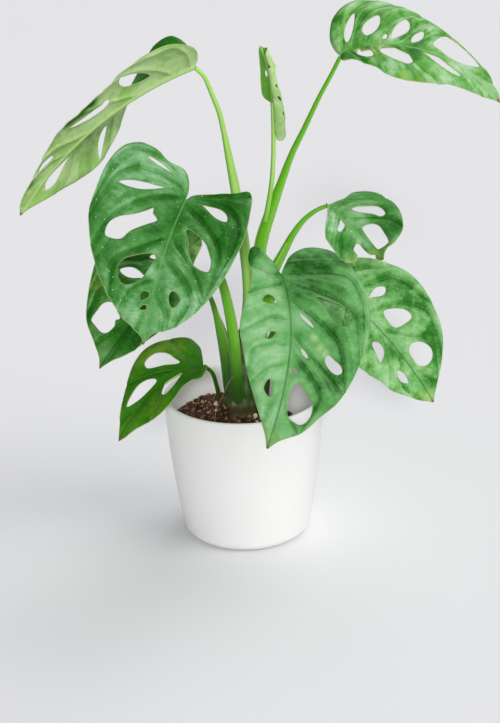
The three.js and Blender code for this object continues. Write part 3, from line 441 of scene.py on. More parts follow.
class PotSettings(bpy.types.PropertyGroup):
    """Sizes and finish of the pot and its filling"""

    height: length("Pot height", "Height of the pot", 0.0965)
    rim_radius: length("Rim radius", "Outside radius at the rim", 0.0522)
    foot_radius: length("Foot radius", "Outside radius of the wall at the foot", 0.0415)
    wall: length("Wall", "Thickness of the wall at the lip", 0.0025)
    floor: length("Floor", "Thickness of the pot's floor", 0.0042)
    rounding: length("Foot rounding", "Radius of the rounded foot", 0.0065)
    belly: share("Belly", "How much the wall swells between foot and rim", 0.65)
    glaze: colour("Glaze", "Colour of the pot", (0.91, 0.91, 0.90))
    soil_edge: length("Soil at the wall", "Height of the soil at the wall", 0.0745)
    soil_slope: share("Soil slope", "Fall of the soil towards +X", 0.11)
    soil_mound: length("Soil mound", "Rise of the soil from the wall to the crown", 0.0085)
    bark: colour("Bark mix", "Main colour of the soil", (0.014, 0.006, 0.003))


class BladeSettings(bpy.types.PropertyGroup):
    """Sizes and finish of the leaf blades"""

    cell: length("Cell", "Spacing of the surface points on a blade", 0.0008)
    thickness: length("Thickness", "Thickness of a blade", 0.0006)
    quilt: length("Quilting", "Rise of the blade between two side veins", 0.0020)
    groove: length("Groove", "Depth of a side vein in the upper face", 0.0006)
    roughness: share("Roughness", "Roughness of the upper face", 0.36)
    vein: colour("Vein", "Colour of the veins", (0.16, 0.40, 0.12))
    margin: colour("Margin", "Colour of the thin edge", (0.42, 0.52, 0.20))


class StalkSettings(bpy.types.PropertyGroup):
    """Finish of the stalks and of the crown"""

    young: colour("Upper stalk", "Colour of the stalks near the blades", (0.135, 0.475, 0.008))
    # The lower stalk colour is dark partly as painted shade under the leaves.
    low_and_shaded: colour("Lower stalk", "Colour of the stalks near the crown", (0.022, 0.095, 0.006))
    crown: colour("Crown", "Colour of the crown", (0.026, 0.090, 0.007))


class StageSettings(bpy.types.PropertyGroup):
    """Floor, lights and camera"""

    floor: colour("Floor", "Colour of the floor", (0.84, 0.84, 0.86))
    distance: length("Camera distance", "From the camera to the point it looks at", 1.0373)
    elevation: angle("Elevation", "Camera elevation", 22.12)
    tilt: angle("Tilt", "Turn of the camera about its own axis", -1.74)


GROUPS = {
    "pot": PotSettings,
    "blade": BladeSettings,
    "stalk": StalkSettings,
    "stage": StageSettings,
}


def settings(name):
    """The scene's settings of one of the GROUPS."""
    return getattr(bpy.context.scene, "monstera_" + name)


# ---------------------------------------------------------------------------------------- curves


def unit(vectors):
    """The same directions with length 1."""
    return vectors / np.linalg.norm(vectors, axis=-1, keepdims=True)


def direction(heading, height):
    """The unit vector at a heading from +X towards +Y and a height above level, in degrees."""
    heading, height = math.radians(heading), math.radians(height)
    return np.array([
        math.cos(height) * math.cos(heading), math.cos(height) * math.sin(heading),
        math.sin(height)])


def even_places(spans, count):
    """count + 1 even places on a chain of spans: each place, its span and its share of the span."""
    place = np.linspace(0, spans, count + 1)
    first = np.minimum(place.astype(int), spans - 1)
    return place, first, (place - first)[:, None]


def cubic(start, end, leaving, arriving, w):
    """The cubic from start to end with the slopes leaving and arriving, at its share w."""
    return (2 * start - 2 * end + leaving + arriving) * w**3 \
        + (-3 * start + 3 * end - 2 * leaving - arriving) * w**2 + leaving * w + start


def smooth_through(points, count):
    """A uniform Catmull-Rom curve through the points: on each span the cubic whose end slopes are
    half the chord between the neighbouring points, sampled at count + 1 even steps."""
    points = np.asarray(points, float)
    spans = len(points) - 1
    _, first, w = even_places(spans, count)
    p0, p1, p2, p3 = (points[(first + i).clip(0, spans)] for i in (-1, 0, 1, 2))
    return cubic(p1, p2, (p2 - p0) / 2, (p3 - p1) / 2, w)


def centripetal_path(stations, count):
    """A centripetal Catmull-Rom path: the same cubic, with knots spaced by the square root of the
    chord, so that it neither loops nor overshoots. The radius runs straight between stations.
    Returns metres."""
    stations = np.asarray(stations, float) * MM
    points, radii = stations[:, :3], stations[:, 3]
    spans = len(points) - 1
    place, first, w = even_places(spans, count)
    padded = np.vstack([2 * points[0] - points[1], points, 2 * points[-1] - points[-2]])
    p0, p1, p2, p3 = (padded[first + i] for i in range(4))
    knot = lambda a, b: np.linalg.norm(b - a, axis=1)[:, None] ** 0.5
    d0, d1, d2 = knot(p0, p1), knot(p1, p2), knot(p2, p3)
    v1 = ((p1 - p0) / d0 - (p2 - p0) / (d0 + d1) + (p2 - p1) / d1) * d1
    v2 = ((p2 - p1) / d1 - (p3 - p1) / (d1 + d2) + (p3 - p2) / d2) * d1
    return cubic(p1, p2, v1, v2, w), np.interp(place, np.arange(spans + 1), radii)


def window_outline(window, count=56):
    """A closed curve through a list of points, or an oval with one blunter end: half width
    sin(pi q^bluntness)^0.75 at the share q of its length, about an axis that bows as a parabola,
    then turned and moved into place."""
    if isinstance(window, list):
        steps, lead = 6, 2  # steps on each span, and spans drawn twice so that the ends join
        points = np.array(window, float)[np.arange(-lead, len(window) + lead + 1) % len(window)]
        return smooth_through(points, steps * (len(points) - 1))[lead * steps:-lead * steps]
    s, t, long, wide, turn, bluntness, bow = window
    q = (1 - np.cos(np.linspace(0, math.pi, count // 2, endpoint=False))) / 2
    q = np.concatenate([q, 1 - q])
    side = np.repeat([1, -1], count // 2)
    a = (q - 0.5) * long
    swell = np.sin(math.pi * q.clip(0, 1) ** bluntness).clip(0) ** 0.75
    b = side * wide / 2 * swell + bow * long * (4 * (q - 0.5) ** 2 - 0.5) * 0.25
    turn = math.radians(turn)
    return np.stack([
        s + a * math.cos(turn) - b * math.sin(turn), t + a * math.sin(turn) + b * math.cos(turn)], 1)


def to_line(points, line, closed=False):
    """Distance from each point to a chain of straight pieces, and on which side of the nearest
    piece the point lies (+1 on the left of its direction)."""
    start, end = (line, np.roll(line, -1, axis=0)) if closed else (line[:-1], line[1:])
    step = end - start
    size = np.maximum((step**2).sum(1), 1e-12)
    off = points[:, None, :] - start[None]
    along = ((off * step[None]).sum(2) / size).clip(0, 1)
    gap = off - along[..., None] * step[None]
    far = (gap**2).sum(2)
    nearest = far.argmin(1)
    row = np.arange(len(points))
    cross = step[nearest, 0] * off[row, nearest, 1] - step[nearest, 1] * off[row, nearest, 0]
    return np.sqrt(far[row, nearest]), np.where(cross >= 0, 1.0, -1.0)


def within(points, loop):
    """True where a point is inside the closed loop, by counting crossings of a line to its right."""
    a, b = loop, np.roll(loop, -1, axis=0)
    x, y = points[:, :1], points[:, 1:]
    spans = (a[None, :, 1] > y) != (b[None, :, 1] > y)
    rise = np.where(np.abs(b[:, 1] - a[:, 1]) < 1e-12, 1e-12, b[:, 1] - a[:, 1])
    meets = a[None, :, 0] + (y - a[None, :, 1]) * (b[:, 0] - a[:, 0])[None] / rise[None]
    return ((spans & (x < meets)).sum(1) % 2).astype(bool)


def clearance(points, loop):
    """Distance to the loop, positive inside it and negative outside. Points farther than reach
    from the loop's box only get a large negative number."""
    reach, plainly_outside = 6, -1e3
    out = np.full(len(points), plainly_outside)
    near = ((points > loop.min(0) - reach) & (points < loop.max(0) + reach)).all(1)
    far, _ = to_line(points[near], loop, closed=True)
    out[near] = np.where(within(points[near], loop), far, -far)
    return out


def ripple(x, y, seed):
    """Smooth noise about zero: random heights on a unit grid, joined by cosine easing."""
    size = 97
    heights = np.random.default_rng(seed).uniform(-1, 1, (size, size))
    i, j = np.floor(x).astype(int), np.floor(y).astype(int)
    u, v = ((1 - np.cos(math.pi * part)) / 2 for part in (x - i, y - j))
    at = lambda a, b: heights[a % size, b % size]
    low = at(i, j) * (1 - u) + at(i + 1, j) * u
    high = at(i, j + 1) * (1 - u) + at(i + 1, j + 1) * u
    return low * (1 - v) + high * v


# ---------------------------------------------------------------------------------------- meshes


def put_mesh(name, vertices, faces, uv=None, values=None, smooth=True):
    """Puts whole arrays into a new mesh object at the origin. faces is a list of index arrays, each
    of triangles or quads; uv is one pair per vertex, and values are named numbers per vertex."""
    mesh = bpy.data.meshes.new(name)
    counts = np.concatenate([np.full(len(f), f.shape[1]) for f in faces])
    corners = np.concatenate([f.ravel() for f in faces]).astype(np.int32)
    mesh.vertices.add(len(vertices))
    mesh.vertices.foreach_set("co", np.asarray(vertices, np.float32).ravel())
    mesh.loops.add(len(corners))
    mesh.loops.foreach_set("vertex_index", corners)
    mesh.polygons.add(len(counts))
    starts = np.concatenate([[0], np.cumsum(counts)[:-1]]).astype(np.int32)
    mesh.polygons.foreach_set("loop_start", starts)
    mesh.polygons.foreach_set("use_smooth", np.full(len(counts), smooth))
    if uv is not None:
        layer = mesh.uv_layers.new(name="flat")
        layer.uv.foreach_set("vector", np.asarray(uv, np.float32)[corners].ravel())
    for key, numbers in (values or {}).items():
        attribute = mesh.attributes.new(key, "FLOAT", "POINT")
        attribute.data.foreach_set("value", np.asarray(numbers, np.float32))
    mesh.update(calc_edges=True)
    mesh.validate()
    piece = bpy.data.objects.new(name, mesh)
    bpy.context.scene.collection.objects.link(piece)
    return piece


def stand_for(piece, node, material):
    """The piece rides on the plant's one body and stands for the CAD node, if it has one."""
    piece.data.materials.append(material)
    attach(piece, "root")
    if node:
        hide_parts(node)


def closed_faces(rings, sides):
    """Faces of a closed tube: quads between neighbouring rings, numbered ring by ring, and fans of
    triangles to the two poles, which are numbered after the rings."""
    i, j = np.meshgrid(np.arange(rings - 1), np.arange(sides), indexing="ij")
    a, b = i * sides + j, i * sides + (j + 1) % sides
    wall = np.stack([a, b, b + sides, a + sides], -1).reshape(-1, 4)
    around = np.arange(sides)
    after = (around + 1) % sides
    first_pole = np.full(sides, rings * sides)
    last = (rings - 1) * sides
    return [
        wall,
        np.stack([first_pole, after, around], 1),
        np.stack([first_pole + 1, last + around, last + after], 1)]


def turned(profile, sides):
    """A profile of (radius, height) pairs carried round the upright axis: x = r cos a, y = r sin a.
    Its first and last points lie on the axis and become single poles."""
    profile = np.asarray(profile, float)
    around = np.linspace(0, 2 * math.pi, sides, endpoint=False)
    r, z = profile[1:-1, :1], np.repeat(profile[1:-1, 1:], sides, axis=1)
    rings = np.stack([r * np.cos(around), r * np.sin(around), z], -1).reshape(-1, 3)
    poles = [[0, 0, profile[0, 1]], [0, 0, profile[-1, 1]]]
    return np.vstack([rings, poles]), closed_faces(len(r), sides)


def arc(centre, radius, start, end, count):
    """Points on an arc of a profile, from start to end in degrees from outwards towards up."""
    turn = np.radians(np.linspace(start, end, count))
    return [*zip(centre[0] + radius * np.cos(turn), centre[1] + radius * np.sin(turn))]


def tube(path, radii, sides, shape):
    """A closed tube: at each station of the path a ring of radius r times shape(u, angle) across
    the path's direction, with the ring's zero angle kept towards +X, and a pole at each end. Also
    returns the share of the path and the angle of every vertex."""
    along = unit(np.gradient(path, axis=0))
    a = unit(np.cross([0.0, 1.0, 0.0], along))
    b = np.cross(along, a)
    around = np.linspace(0, 2 * math.pi, sides, endpoint=False)[None, :]
    u = np.linspace(0, 1, len(path))[:, None]
    r = radii[:, None] * shape(u, around)
    ring = path[:, None] + a[:, None] * (r * np.cos(around))[..., None] \
        + b[:, None] * (r * np.sin(around))[..., None]
    vertices = np.vstack([ring.reshape(-1, 3), path[0], path[-1]])
    place = np.append(np.repeat(u.ravel(), sides), [0, 1])
    turn = np.append(np.tile(around.ravel(), len(path)), [0, 0])
    return vertices, closed_faces(len(path), sides), place, turn


# ---------------------------------------------------------------------------------------- blades

HALVES = (("left", -1), ("right", 1))
CURL_LENGTH = 20  # a lobe has turned by its curl this far behind the sinus
CUP_WIDTH = 40  # a half has turned by its cup this far from the midrib
ROLL_WIDTH = 10  # a margin turns by its roll over this much of the blade's width
NO_VEIN = 9.0  # stands for the distance to a side vein where there is none
FAR_FROM_TIP = 9.0  # stands for the distance to the tip where the tip stays green


def blade_spine(leaf, steps=40):
    """The midrib as a chain of frames (point, along, side, up). Each step turns the frame by its
    share of bend about the side axis, of sweep about the upper normal and of twist about itself."""
    heading, turn = (math.radians(leaf[key]) for key in ("heading", "turn"))
    along = direction(leaf["heading"], leaf["pitch"])
    side = np.array([math.sin(heading), -math.cos(heading), 0.0])
    up = np.cross(side, along)
    side, up = (side * math.cos(turn) + up * math.sin(turn),
                up * math.cos(turn) - side * math.sin(turn))
    point = np.array(leaf["base"], float)
    frames = [(point, along, side, up)]
    twist, sweep = (math.radians(leaf[key]) / steps for key in ("twist", "sweep"))
    for i in range(steps):
        u = (i + 0.5) / steps
        bend = math.radians(leaf["bend"][0] * (1 - u) + leaf["bend"][1] * u) / steps
        ahead = unit(along - bend * up + sweep * side)
        side = side + twist * up - sweep * along
        side = unit(side - ahead * (side @ ahead))
        up = np.cross(side, ahead)
        point = point + (along + ahead) * leaf["length"] / steps / 2
        along = ahead
        frames.append((point, along, side, up))
    return [np.array(column) for column in zip(*frames)]


def never_straight(rate):
    """The same turn per millimetre, but never zero, because it divides."""
    least = 1e-7
    return np.where(np.abs(rate) < least, least, rate)


def bent_out(slope, rate, reach):
    """An arc that starts at a slope and turns by rate per millimetre: how far it has gone out and
    up after reach millimetres, and its slope there."""
    end = slope + rate * reach
    return (np.sin(end) - np.sin(slope)) / rate, (np.cos(slope) - np.cos(end)) / rate, end


def place_blade(leaf, s, t, height):
    """Flat drawing to space. A point goes along the midrib by s, then across it by |t| on an arc
    whose slope is fold + cup |t| (steeper past the start of a rolled margin), then up its own
    normal by height. Behind the sinus the lobe turns down on an arc."""
    spine = blade_spine(leaf)
    steps = len(spine[0]) - 1
    place = (s / leaf["length"]).clip(0, 1) * steps
    i = np.minimum(place.astype(int), steps - 1)
    w = (place - i)[:, None]
    point, along, side, up = (v[i] * (1 - w) + v[i + 1] * w for v in spine)
    pick = lambda of: np.where(t < 0, of(leaf["left"]), of(leaf["right"]))
    behind = np.maximum(-s, 0)
    turn = np.radians(pick(lambda half: half["curl"])) * behind / CURL_LENGTH
    point = point - along * (behind * np.cos(turn / 2))[:, None]
    point = point - up * (behind * np.sin(turn / 2))[:, None]
    point = point + along * np.maximum(s - leaf["length"], 0)[:, None]
    up = up * np.cos(turn)[:, None] - along * np.sin(turn)[:, None]
    u = place / steps
    at_base, at_tip = pick(lambda half: half["fold"][0]), pick(lambda half: half["fold"][1])
    fold = np.radians(at_base * (1 - u) + at_tip * u)
    rate = never_straight(np.radians(pick(lambda half: half["cup"])) / CUP_WIDTH)
    across = np.abs(t)
    start = np.full_like(t, np.inf)
    extra = np.zeros_like(t)
    for name, sign in HALVES:
        for low, high, inner, degrees in leaf[name].get("rolls", ()):
            ease = np.sin(((s - low) / (high - low)).clip(0, 1) * math.pi) ** 0.5
            mine = (t * sign > 0) & (ease > 0)
            start = np.where(mine, inner, start)
            extra = np.where(mine, np.radians(degrees) / ROLL_WIDTH * ease, extra)
    near = np.minimum(across, start)
    out, rise, slope = bent_out(fold, rate, near)
    farther, higher, end = bent_out(slope, never_straight(rate + extra), across - near)
    sideways = np.sign(t) * (out + farther - height * np.sin(end))
    return point + side * sideways[:, None] + up * (rise + higher + height * np.cos(end))[:, None]


def blade_outline(leaf, count=150):
    """The whole edge as one loop: out along the right half and back along the left."""
    left, right = (
        smooth_through([(0, 0), *((s, sign * t) for s, t in leaf[name]["edge"]), (leaf["length"], 0)],
                       count)
        for name, sign in HALVES)
    return np.vstack([right[:-1], left[:0:-1]])


def tissue(points, outline, windows):
    """How far inside the blade a point is: the least of its distance inside the outline and
    outside each window."""
    inside = clearance(points, outline)
    for window in windows:
        inside = np.minimum(inside, -clearance(points, window))
    return inside


def grid_over(outline, cell):
    """A square grid over the outline, with one row on the midrib: its points and their numbers."""
    low, high = outline.min(0) - 2 * cell, outline.max(0) + 2 * cell
    rows = math.ceil((high[0] - low[0]) / cell)
    left, right = math.ceil(-low[1] / cell), math.ceil(high[1] / cell)
    s, t = np.meshgrid(
        low[0] + cell * np.arange(rows + 1), cell * np.arange(-left, right + 1), indexing="ij")
    points = np.stack([s.ravel(), t.ravel()], 1)
    return points, np.arange(len(points)).reshape(s.shape)


def pull_to_edges(points, index, depth):
    """Moves the nearer end of each grid line that crosses an edge onto the edge; where a point has
    several moves, the shortest one counts. Also gives +1 inside, 0 on an edge and -1 outside."""
    a = np.concatenate([index[:-1].ravel(), index[:, :-1].ravel()])
    b = np.concatenate([index[1:].ravel(), index[:, 1:].ravel()])
    crossed = (depth[a] > 0) != (depth[b] > 0)
    a, b = a[crossed], b[crossed]
    reach = depth[a] / (depth[a] - depth[b])
    mover = np.where(reach < 0.5, a, b)
    moved_to = points[a] + (points[b] - points[a]) * reach[:, None]
    order = np.argsort(-np.minimum(reach, 1 - reach))
    moved = points.copy()
    moved[mover[order]] = moved_to[order]
    sign = np.where(depth > 0, 1, -1)
    sign[mover] = 0
    return moved, sign


def split_cells(index, sign):
    """Two triangles for each grid cell, split along the diagonal that doesn't cross an edge."""
    c0, c1, c2, c3 = (c.ravel() for c in (
        index[:-1, :-1], index[1:, :-1], index[1:, 1:], index[:-1, 1:]))
    other = (sign[c0] * sign[c2] < 0) | ((sign[c0] == 0) & (sign[c2] == 0) & (sign[c1] != 0))
    other = other & ~(sign[c1] * sign[c3] < 0)
    either = lambda one, two: np.where(other[:, None], np.stack(one, 1), np.stack(two, 1))
    return np.vstack([either((c0, c1, c3), (c0, c1, c2)), either((c1, c2, c3), (c0, c2, c3))])


def rim_edges(triangles):
    """The edges that only one triangle has."""
    edges = np.vstack([triangles[:, [0, 1]], triangles[:, [1, 2]], triangles[:, [2, 0]]])
    _, which, count = np.unique(
        np.sort(edges, 1), axis=0, return_inverse=True, return_counts=True)
    return edges[count[which.ravel()] == 1]


def relax(points, triangles, rim, rounds=3):
    """Evens the triangles next to the cut edges: each free point near the rim moves halfway to the
    mean of its neighbours. Points on the rim and on the midrib keep their lines."""
    fixed = np.zeros(len(points), bool)
    fixed[rim.ravel()] = True
    near = np.zeros(len(points), bool)
    near[triangles[fixed[triangles].any(1)].ravel()] = True
    free = near & ~fixed & (np.abs(points[:, 1]) > 0.05)
    start, end = triangles.ravel(), triangles[:, [1, 2, 0]].ravel()
    a, b = np.concatenate([start, end]), np.concatenate([end, start])
    count = np.bincount(a, minlength=len(points))[:, None]
    for _ in range(rounds):
        mean = np.stack([np.bincount(a, points[b, k], len(points)) for k in (0, 1)], 1) / count
        points = np.where(free[:, None], (points + mean) / 2, points)
    return points


def cut_blade(leaf, cell):
    """The flat blade as triangles: a grid is laid over the drawing and pulled onto the edges that
    it crosses, and the triangles left inside are kept. Returns points, triangles, rim edges and
    depth inside."""
    outline = blade_outline(leaf)
    windows = [window_outline(window) for window in leaf["windows"]]
    points, index = grid_over(outline, cell)
    depth = tissue(points, outline, windows)
    moved, sign = pull_to_edges(points, index, depth)
    triangles = split_cells(index, sign)
    signs = sign[triangles]
    kept = (signs >= 0).all(1) & (signs > 0).any(1)
    on_edges = (signs == 0).all(1)
    middle = tissue(moved[triangles[on_edges]].mean(1), outline, windows)
    kept[np.flatnonzero(on_edges)[middle > 0.05]] = True
    triangles = triangles[kept]
    p = moved[triangles]
    area = np.cross(p[:, 1] - p[:, 0], p[:, 2] - p[:, 0])
    triangles = triangles[area > 1e-4 * cell**2]
    rim = rim_edges(triangles)
    used = np.unique(triangles)
    renumbered = np.full(len(points), -1)
    renumbered[used] = np.arange(len(used))
    triangles, rim = renumbered[triangles], renumbered[rim]
    depth = np.where(sign[used] == 0, 0.0, depth[used])
    return relax(moved[used], triangles, rim), triangles, rim, depth


def drawn_on(vein, steps=24, onwards=60):
    """A side vein as a smooth line that runs on straight past its outer end."""
    line = smooth_through(vein, steps)
    return np.vstack([line, line[-1] + (line[-1] - line[-2]) * onwards])


def side_veins(leaf, points):
    """Where each point lies among the side veins of its half: order counts them from the sinus to
    the tip and is whole on a vein, spread is the gap between its two neighbours, and gap is the
    distance to the nearest vein, positive on the tip side."""
    order, spread, gap = (np.zeros(len(points)) for _ in range(3))
    for name, sign in HALVES:
        half = points[:, 1] * sign >= 0
        at = points[half] * (1, sign)
        found = [to_line(at, drawn_on(vein)) for vein in leaf[name]["veins"]]
        far = np.stack([distance for distance, _ in found])
        beyond = np.stack([side for _, side in found]) < 0
        passed = beyond.cumprod(0).sum(0)
        row = np.arange(len(at))
        last = len(found) - 1
        before = np.where(passed > 0, far[np.maximum(passed - 1, 0), row], NO_VEIN)
        after = np.where(passed <= last, far[np.minimum(passed, last), row], NO_VEIN)
        total = np.maximum(before + after, 0.5)
        order[half] = passed + before / total
        spread[half] = total
        gap[half] = np.where(before <= after, before, -after)
    return order, spread, gap


def blade_relief(leaf, points, depth, seed, quilt, groove):
    """Height of the bent sheet's middle above its plain surface: a dome between side veins that
    falls steeply on their tip side, a narrow groove on each vein, a groove on the midrib, slow
    waves towards the margin, fine puckers, and ribs beside the midrib. Quieter at the rim."""
    s, t = points.T
    across = np.abs(t)
    order, spread, gap = side_veins(leaf, points)
    far = np.abs(gap)
    room = (spread / 16).clip(0.2, 1.2)
    dome = quilt * room * np.sin(math.pi * (order % 1)) ** 0.8
    step = -0.7 * quilt * room * np.tanh(gap / 0.8) * np.exp(-far / 4.5)
    valley = -groove * np.exp(-((far / 0.7) ** 2))
    quiet = np.exp(-((depth / 1.4) ** 2))
    from_midrib = 1 - np.exp(-((across / 5) ** 2))
    ribs = 0.03 * np.sin((s - 0.45 * across) * 2.3) * np.exp(-((across - 7) / 6) ** 2)
    pucker = 0.38 * ripple(s / 5.5, t / 5.5, seed) + 0.15 * ripple(s / 2.4, t / 2.4, seed + 1)
    waves = 0.6 * ripple(s / 26, t / 40, seed + 2) * (across / 35) ** 2
    middle = -0.6 * np.exp(-((t / 0.9) ** 2)) * (1 - s / leaf["length"]).clip(0.2, 1)
    veined = (dome + step + valley) * from_midrib
    fine = (veined + (pucker + ribs) * from_midrib) * (1 - 0.6 * quiet)
    return (fine + waves + middle) * leaf.get("relief", 1.0)


def patches(spots, s, t):
    """Soft round patches (along, across, radius, amount) added up: amount exp(-(d / radius)^2)."""
    total = np.zeros_like(s)
    for along, across, radius, amount in spots:
        total += amount * np.exp(-((s - along) ** 2 + (t - across) ** 2) / radius**2)
    return total.clip(-1.2, 1)


def blade_piece(name, leaf, seed, look):
    """The finished blade: the cut sheet twice, half a thickness above and below its relief, thinner
    at the rim, with the midrib and veins standing out of the under face, joined round every edge.
    The relief's slope along the midrib is kept for painted light and painted shade on each dome."""
    points, triangles, rim, depth = cut_blade(leaf, look.cell / MM)
    s, t = points.T
    order, spread, gap = side_veins(leaf, points)
    relief_at = lambda at: blade_relief(leaf, at, depth, seed, look.quilt / MM, look.groove / MM)
    relief = relief_at(points)
    step = 0.4
    slope = (relief_at(points + (step, 0)) - relief_at(points - (step, 0))) / (2 * step)
    half = look.thickness / MM / 2 * (1 - 0.45 * np.exp(-((depth / 0.7) ** 2)))
    taper = (1 - s / leaf["length"]).clip(0, 1)
    wide = 0.5 + 0.9 * taper
    midrib = (0.35 + 1.15 * taper) * np.exp(-((t / wide) ** 2)) * (s > -1.5)
    veins = 0.32 * np.exp(-((gap / 0.7) ** 2)) * (1 - np.exp(-((depth / 3) ** 2)))
    upper = place_blade(leaf, s, t, relief + half)
    lower = place_blade(leaf, s, t, relief - half - midrib - veins)
    n = len(points)
    a, b = rim.T
    faces = [triangles, triangles[:, ::-1] + n, np.stack([b, a, a + n, b + n], 1)]
    brown_tip = leaf.get("brown_tip", True)
    values = {
        "vein_order": order, "vein_spread": spread, "depth": depth,
        "to_tip": np.hypot(s - leaf["length"], t) if brown_tip else np.full_like(s, FAR_FROM_TIP),
        # Painted light and shade from the slope of the relief.
        "relief_light_and_shade": np.tanh(slope / 0.35),
        # Patches of painted sheen and painted shade.
        "sheen_and_shade": patches(leaf["sheen_and_shade"], s, t), "yellow": patches(leaf.get("yellow", ()), s, t)}
    values = {key: np.tile(numbers, 2) for key, numbers in values.items()}
    values["under"] = np.repeat([0.0, 1.0], n)
    return put_mesh(
        name, np.vstack([upper, lower]) * MM, faces, uv=np.tile(points, (2, 1)) * FLAT_SCALE,
        values=values)


# ---------------------------------------------------------------------------------------- finishes


class Wiring:
    """Adds nodes to a tree and joins them. A plain number or colour is set on the socket."""

    def __init__(self, tree, keep=False):
        self.tree = tree
        if not keep:
            tree.nodes.clear()

    def node(self, kind, **values):
        made = self.tree.nodes.new(kind)
        for key, value in values.items():
            setattr(made, key, value)
        return made

    def feed(self, socket, value):
        if isinstance(value, bpy.types.NodeSocket):
            self.tree.links.new(value, socket)
        elif socket.type == "RGBA":
            socket.default_value = (*value, 1.0)
        else:
            socket.default_value = value

    def feed_all(self, sockets, values):
        for key, value in values.items():
            self.feed(sockets[key], value)

    def maths(self, operation, *inputs):
        made = self.node("ShaderNodeMath", operation=operation)
        self.feed_all(made.inputs, dict(enumerate(inputs)))
        return made.outputs[0]

    def times(self, first, second):
        return self.maths("MULTIPLY", first, second)

    def plus(self, total, *others):
        for other in others:
            total = self.maths("ADD", total, other)
        return total

    def capped(self, value, factor, cap=1.0):
        """The value times a factor, and no more than the cap."""
        return self.maths("MINIMUM", self.times(value, factor), cap)

    def ease(self, value, low, high, start=0.0, end=1.0):
        """A smooth step from start to end, while the value goes from low to high."""
        made = self.node("ShaderNodeMapRange", interpolation_type="SMOOTHSTEP")
        self.feed_all(made.inputs, dict(enumerate((value, low, high, start, end))))
        return made.outputs[0]

    def blend(self, amount, first, second):
        made = self.node("ShaderNodeMix", data_type="RGBA")
        self.feed_all(made.inputs, {"Factor": amount, 6: first, 7: second})
        return made.outputs[2]

    def layers(self, colour, *coats):
        """Lays coats, each an amount and a colour, one after another over a colour."""
        for amount, coat in coats:
            colour = self.blend(amount, colour, coat)
        return colour

    def number(self, name):
        return self.node("ShaderNodeAttribute", attribute_name=name).outputs["Fac"]

    def place(self):
        return self.node("ShaderNodeTexCoord").outputs["Object"]

    def flat(self):
        return self.node("ShaderNodeUVMap", uv_map="flat").outputs[0]

    def part(self, vector, axis):
        """One coordinate of a vector: 0, 1 or 2."""
        made = self.node("ShaderNodeSeparateXYZ")
        self.feed(made.inputs[0], vector)
        return made.outputs[axis]

    def noise(self, place, scale, detail=2.0, roughness=0.5):
        made = self.node("ShaderNodeTexNoise")
        self.feed_all(made.inputs, {
            "Vector": place, "Scale": scale, "Detail": detail, "Roughness": roughness})
        return made.outputs["Fac"]

    def cells(self, place, scale, feature="F1", out="Distance"):
        made = self.node("ShaderNodeTexVoronoi", feature=feature)
        self.feed_all(made.inputs, {"Vector": place, "Scale": scale})
        return made.outputs[out]

    def stretched(self, place, scale):
        made = self.node("ShaderNodeMapping")
        self.feed_all(made.inputs, {"Vector": place, "Scale": scale})
        return made.outputs["Vector"]

    def bump(self, height, strength, distance):
        made = self.node("ShaderNodeBump")
        self.feed_all(made.inputs, {"Height": height, "Strength": strength, "Distance": distance})
        return made.outputs["Normal"]


def new_group(name, inputs, outputs):
    """An empty shader node group. inputs and outputs name its sockets by kind, Color or Float.
    Returns the group, its wiring, what comes in and what goes out."""
    group = bpy.data.node_groups.new(name, "ShaderNodeTree")
    w = Wiring(group)
    for side, sockets in (("INPUT", inputs), ("OUTPUT", outputs)):
        for kind, labels in sockets.items():
            for label in labels:
                group.interface.new_socket(
                    name=label, in_out=side, socket_type="NodeSocket" + kind)
    return group, w, w.node("NodeGroupInput").outputs, w.node("NodeGroupOutput").inputs


def vein_map(w):
    """What both faces of a blade read. Side veins lie where vein_order is whole: what passes a
    whole number, times vein_spread, is the distance from a vein on its tip side. Distances are
    millimetres; the crease strip past a vein carries painted shade, and the ridge strip before the
    next one painted light."""
    flat, order, spread = w.flat(), w.number("vein_order"), w.number("vein_spread")
    across = w.part(flat, 1)
    from_midrib = w.times(w.maths("ABSOLUTE", across), 1 / FLAT_SCALE)
    past_vein = w.times(w.maths("FRACT", order), spread)
    to_vein = w.maths("SUBTRACT", spread, past_vein)
    away = w.ease(from_midrib, 1.0, 5.0)
    run = w.node("ShaderNodeCombineXYZ")
    w.feed_all(run.inputs, {
        0: w.times(order, 4.0), 1: w.times(from_midrib, 0.05), 2: w.maths("SIGN", across)})
    streak = w.noise(run.outputs[0], 1.0, 3.0, 0.55)
    large, small = w.noise(flat, 5.0), w.noise(flat, 17.0, 3.0, 0.6)
    return SimpleNamespace(
        flat=flat, from_midrib=from_midrib, large=large, small=small,
        fine=w.noise(flat, 55.0, 2.0, 0.6), net=w.cells(flat, 40.0, "DISTANCE_TO_EDGE"),
        from_vein=w.times(w.maths("PINGPONG", order, 0.5), spread),
        inner=w.ease(w.number("depth"), 0.8, 4.0),
        crease_shade=w.times(w.ease(past_vein, 0.2, 5.5, 1.0, 0.0), away),
        ridge_light=w.times(w.ease(to_vein, 0.5, 6.5, 1.0, 0.0), away),
        banded=w.times(w.ease(streak, 0.36, 0.64, -1.0, 1.0), away),
        mottle=w.plus(w.ease(large, 0.38, 0.62, -0.3, 0.3), w.ease(small, 0.38, 0.62, -0.2, 0.2)))


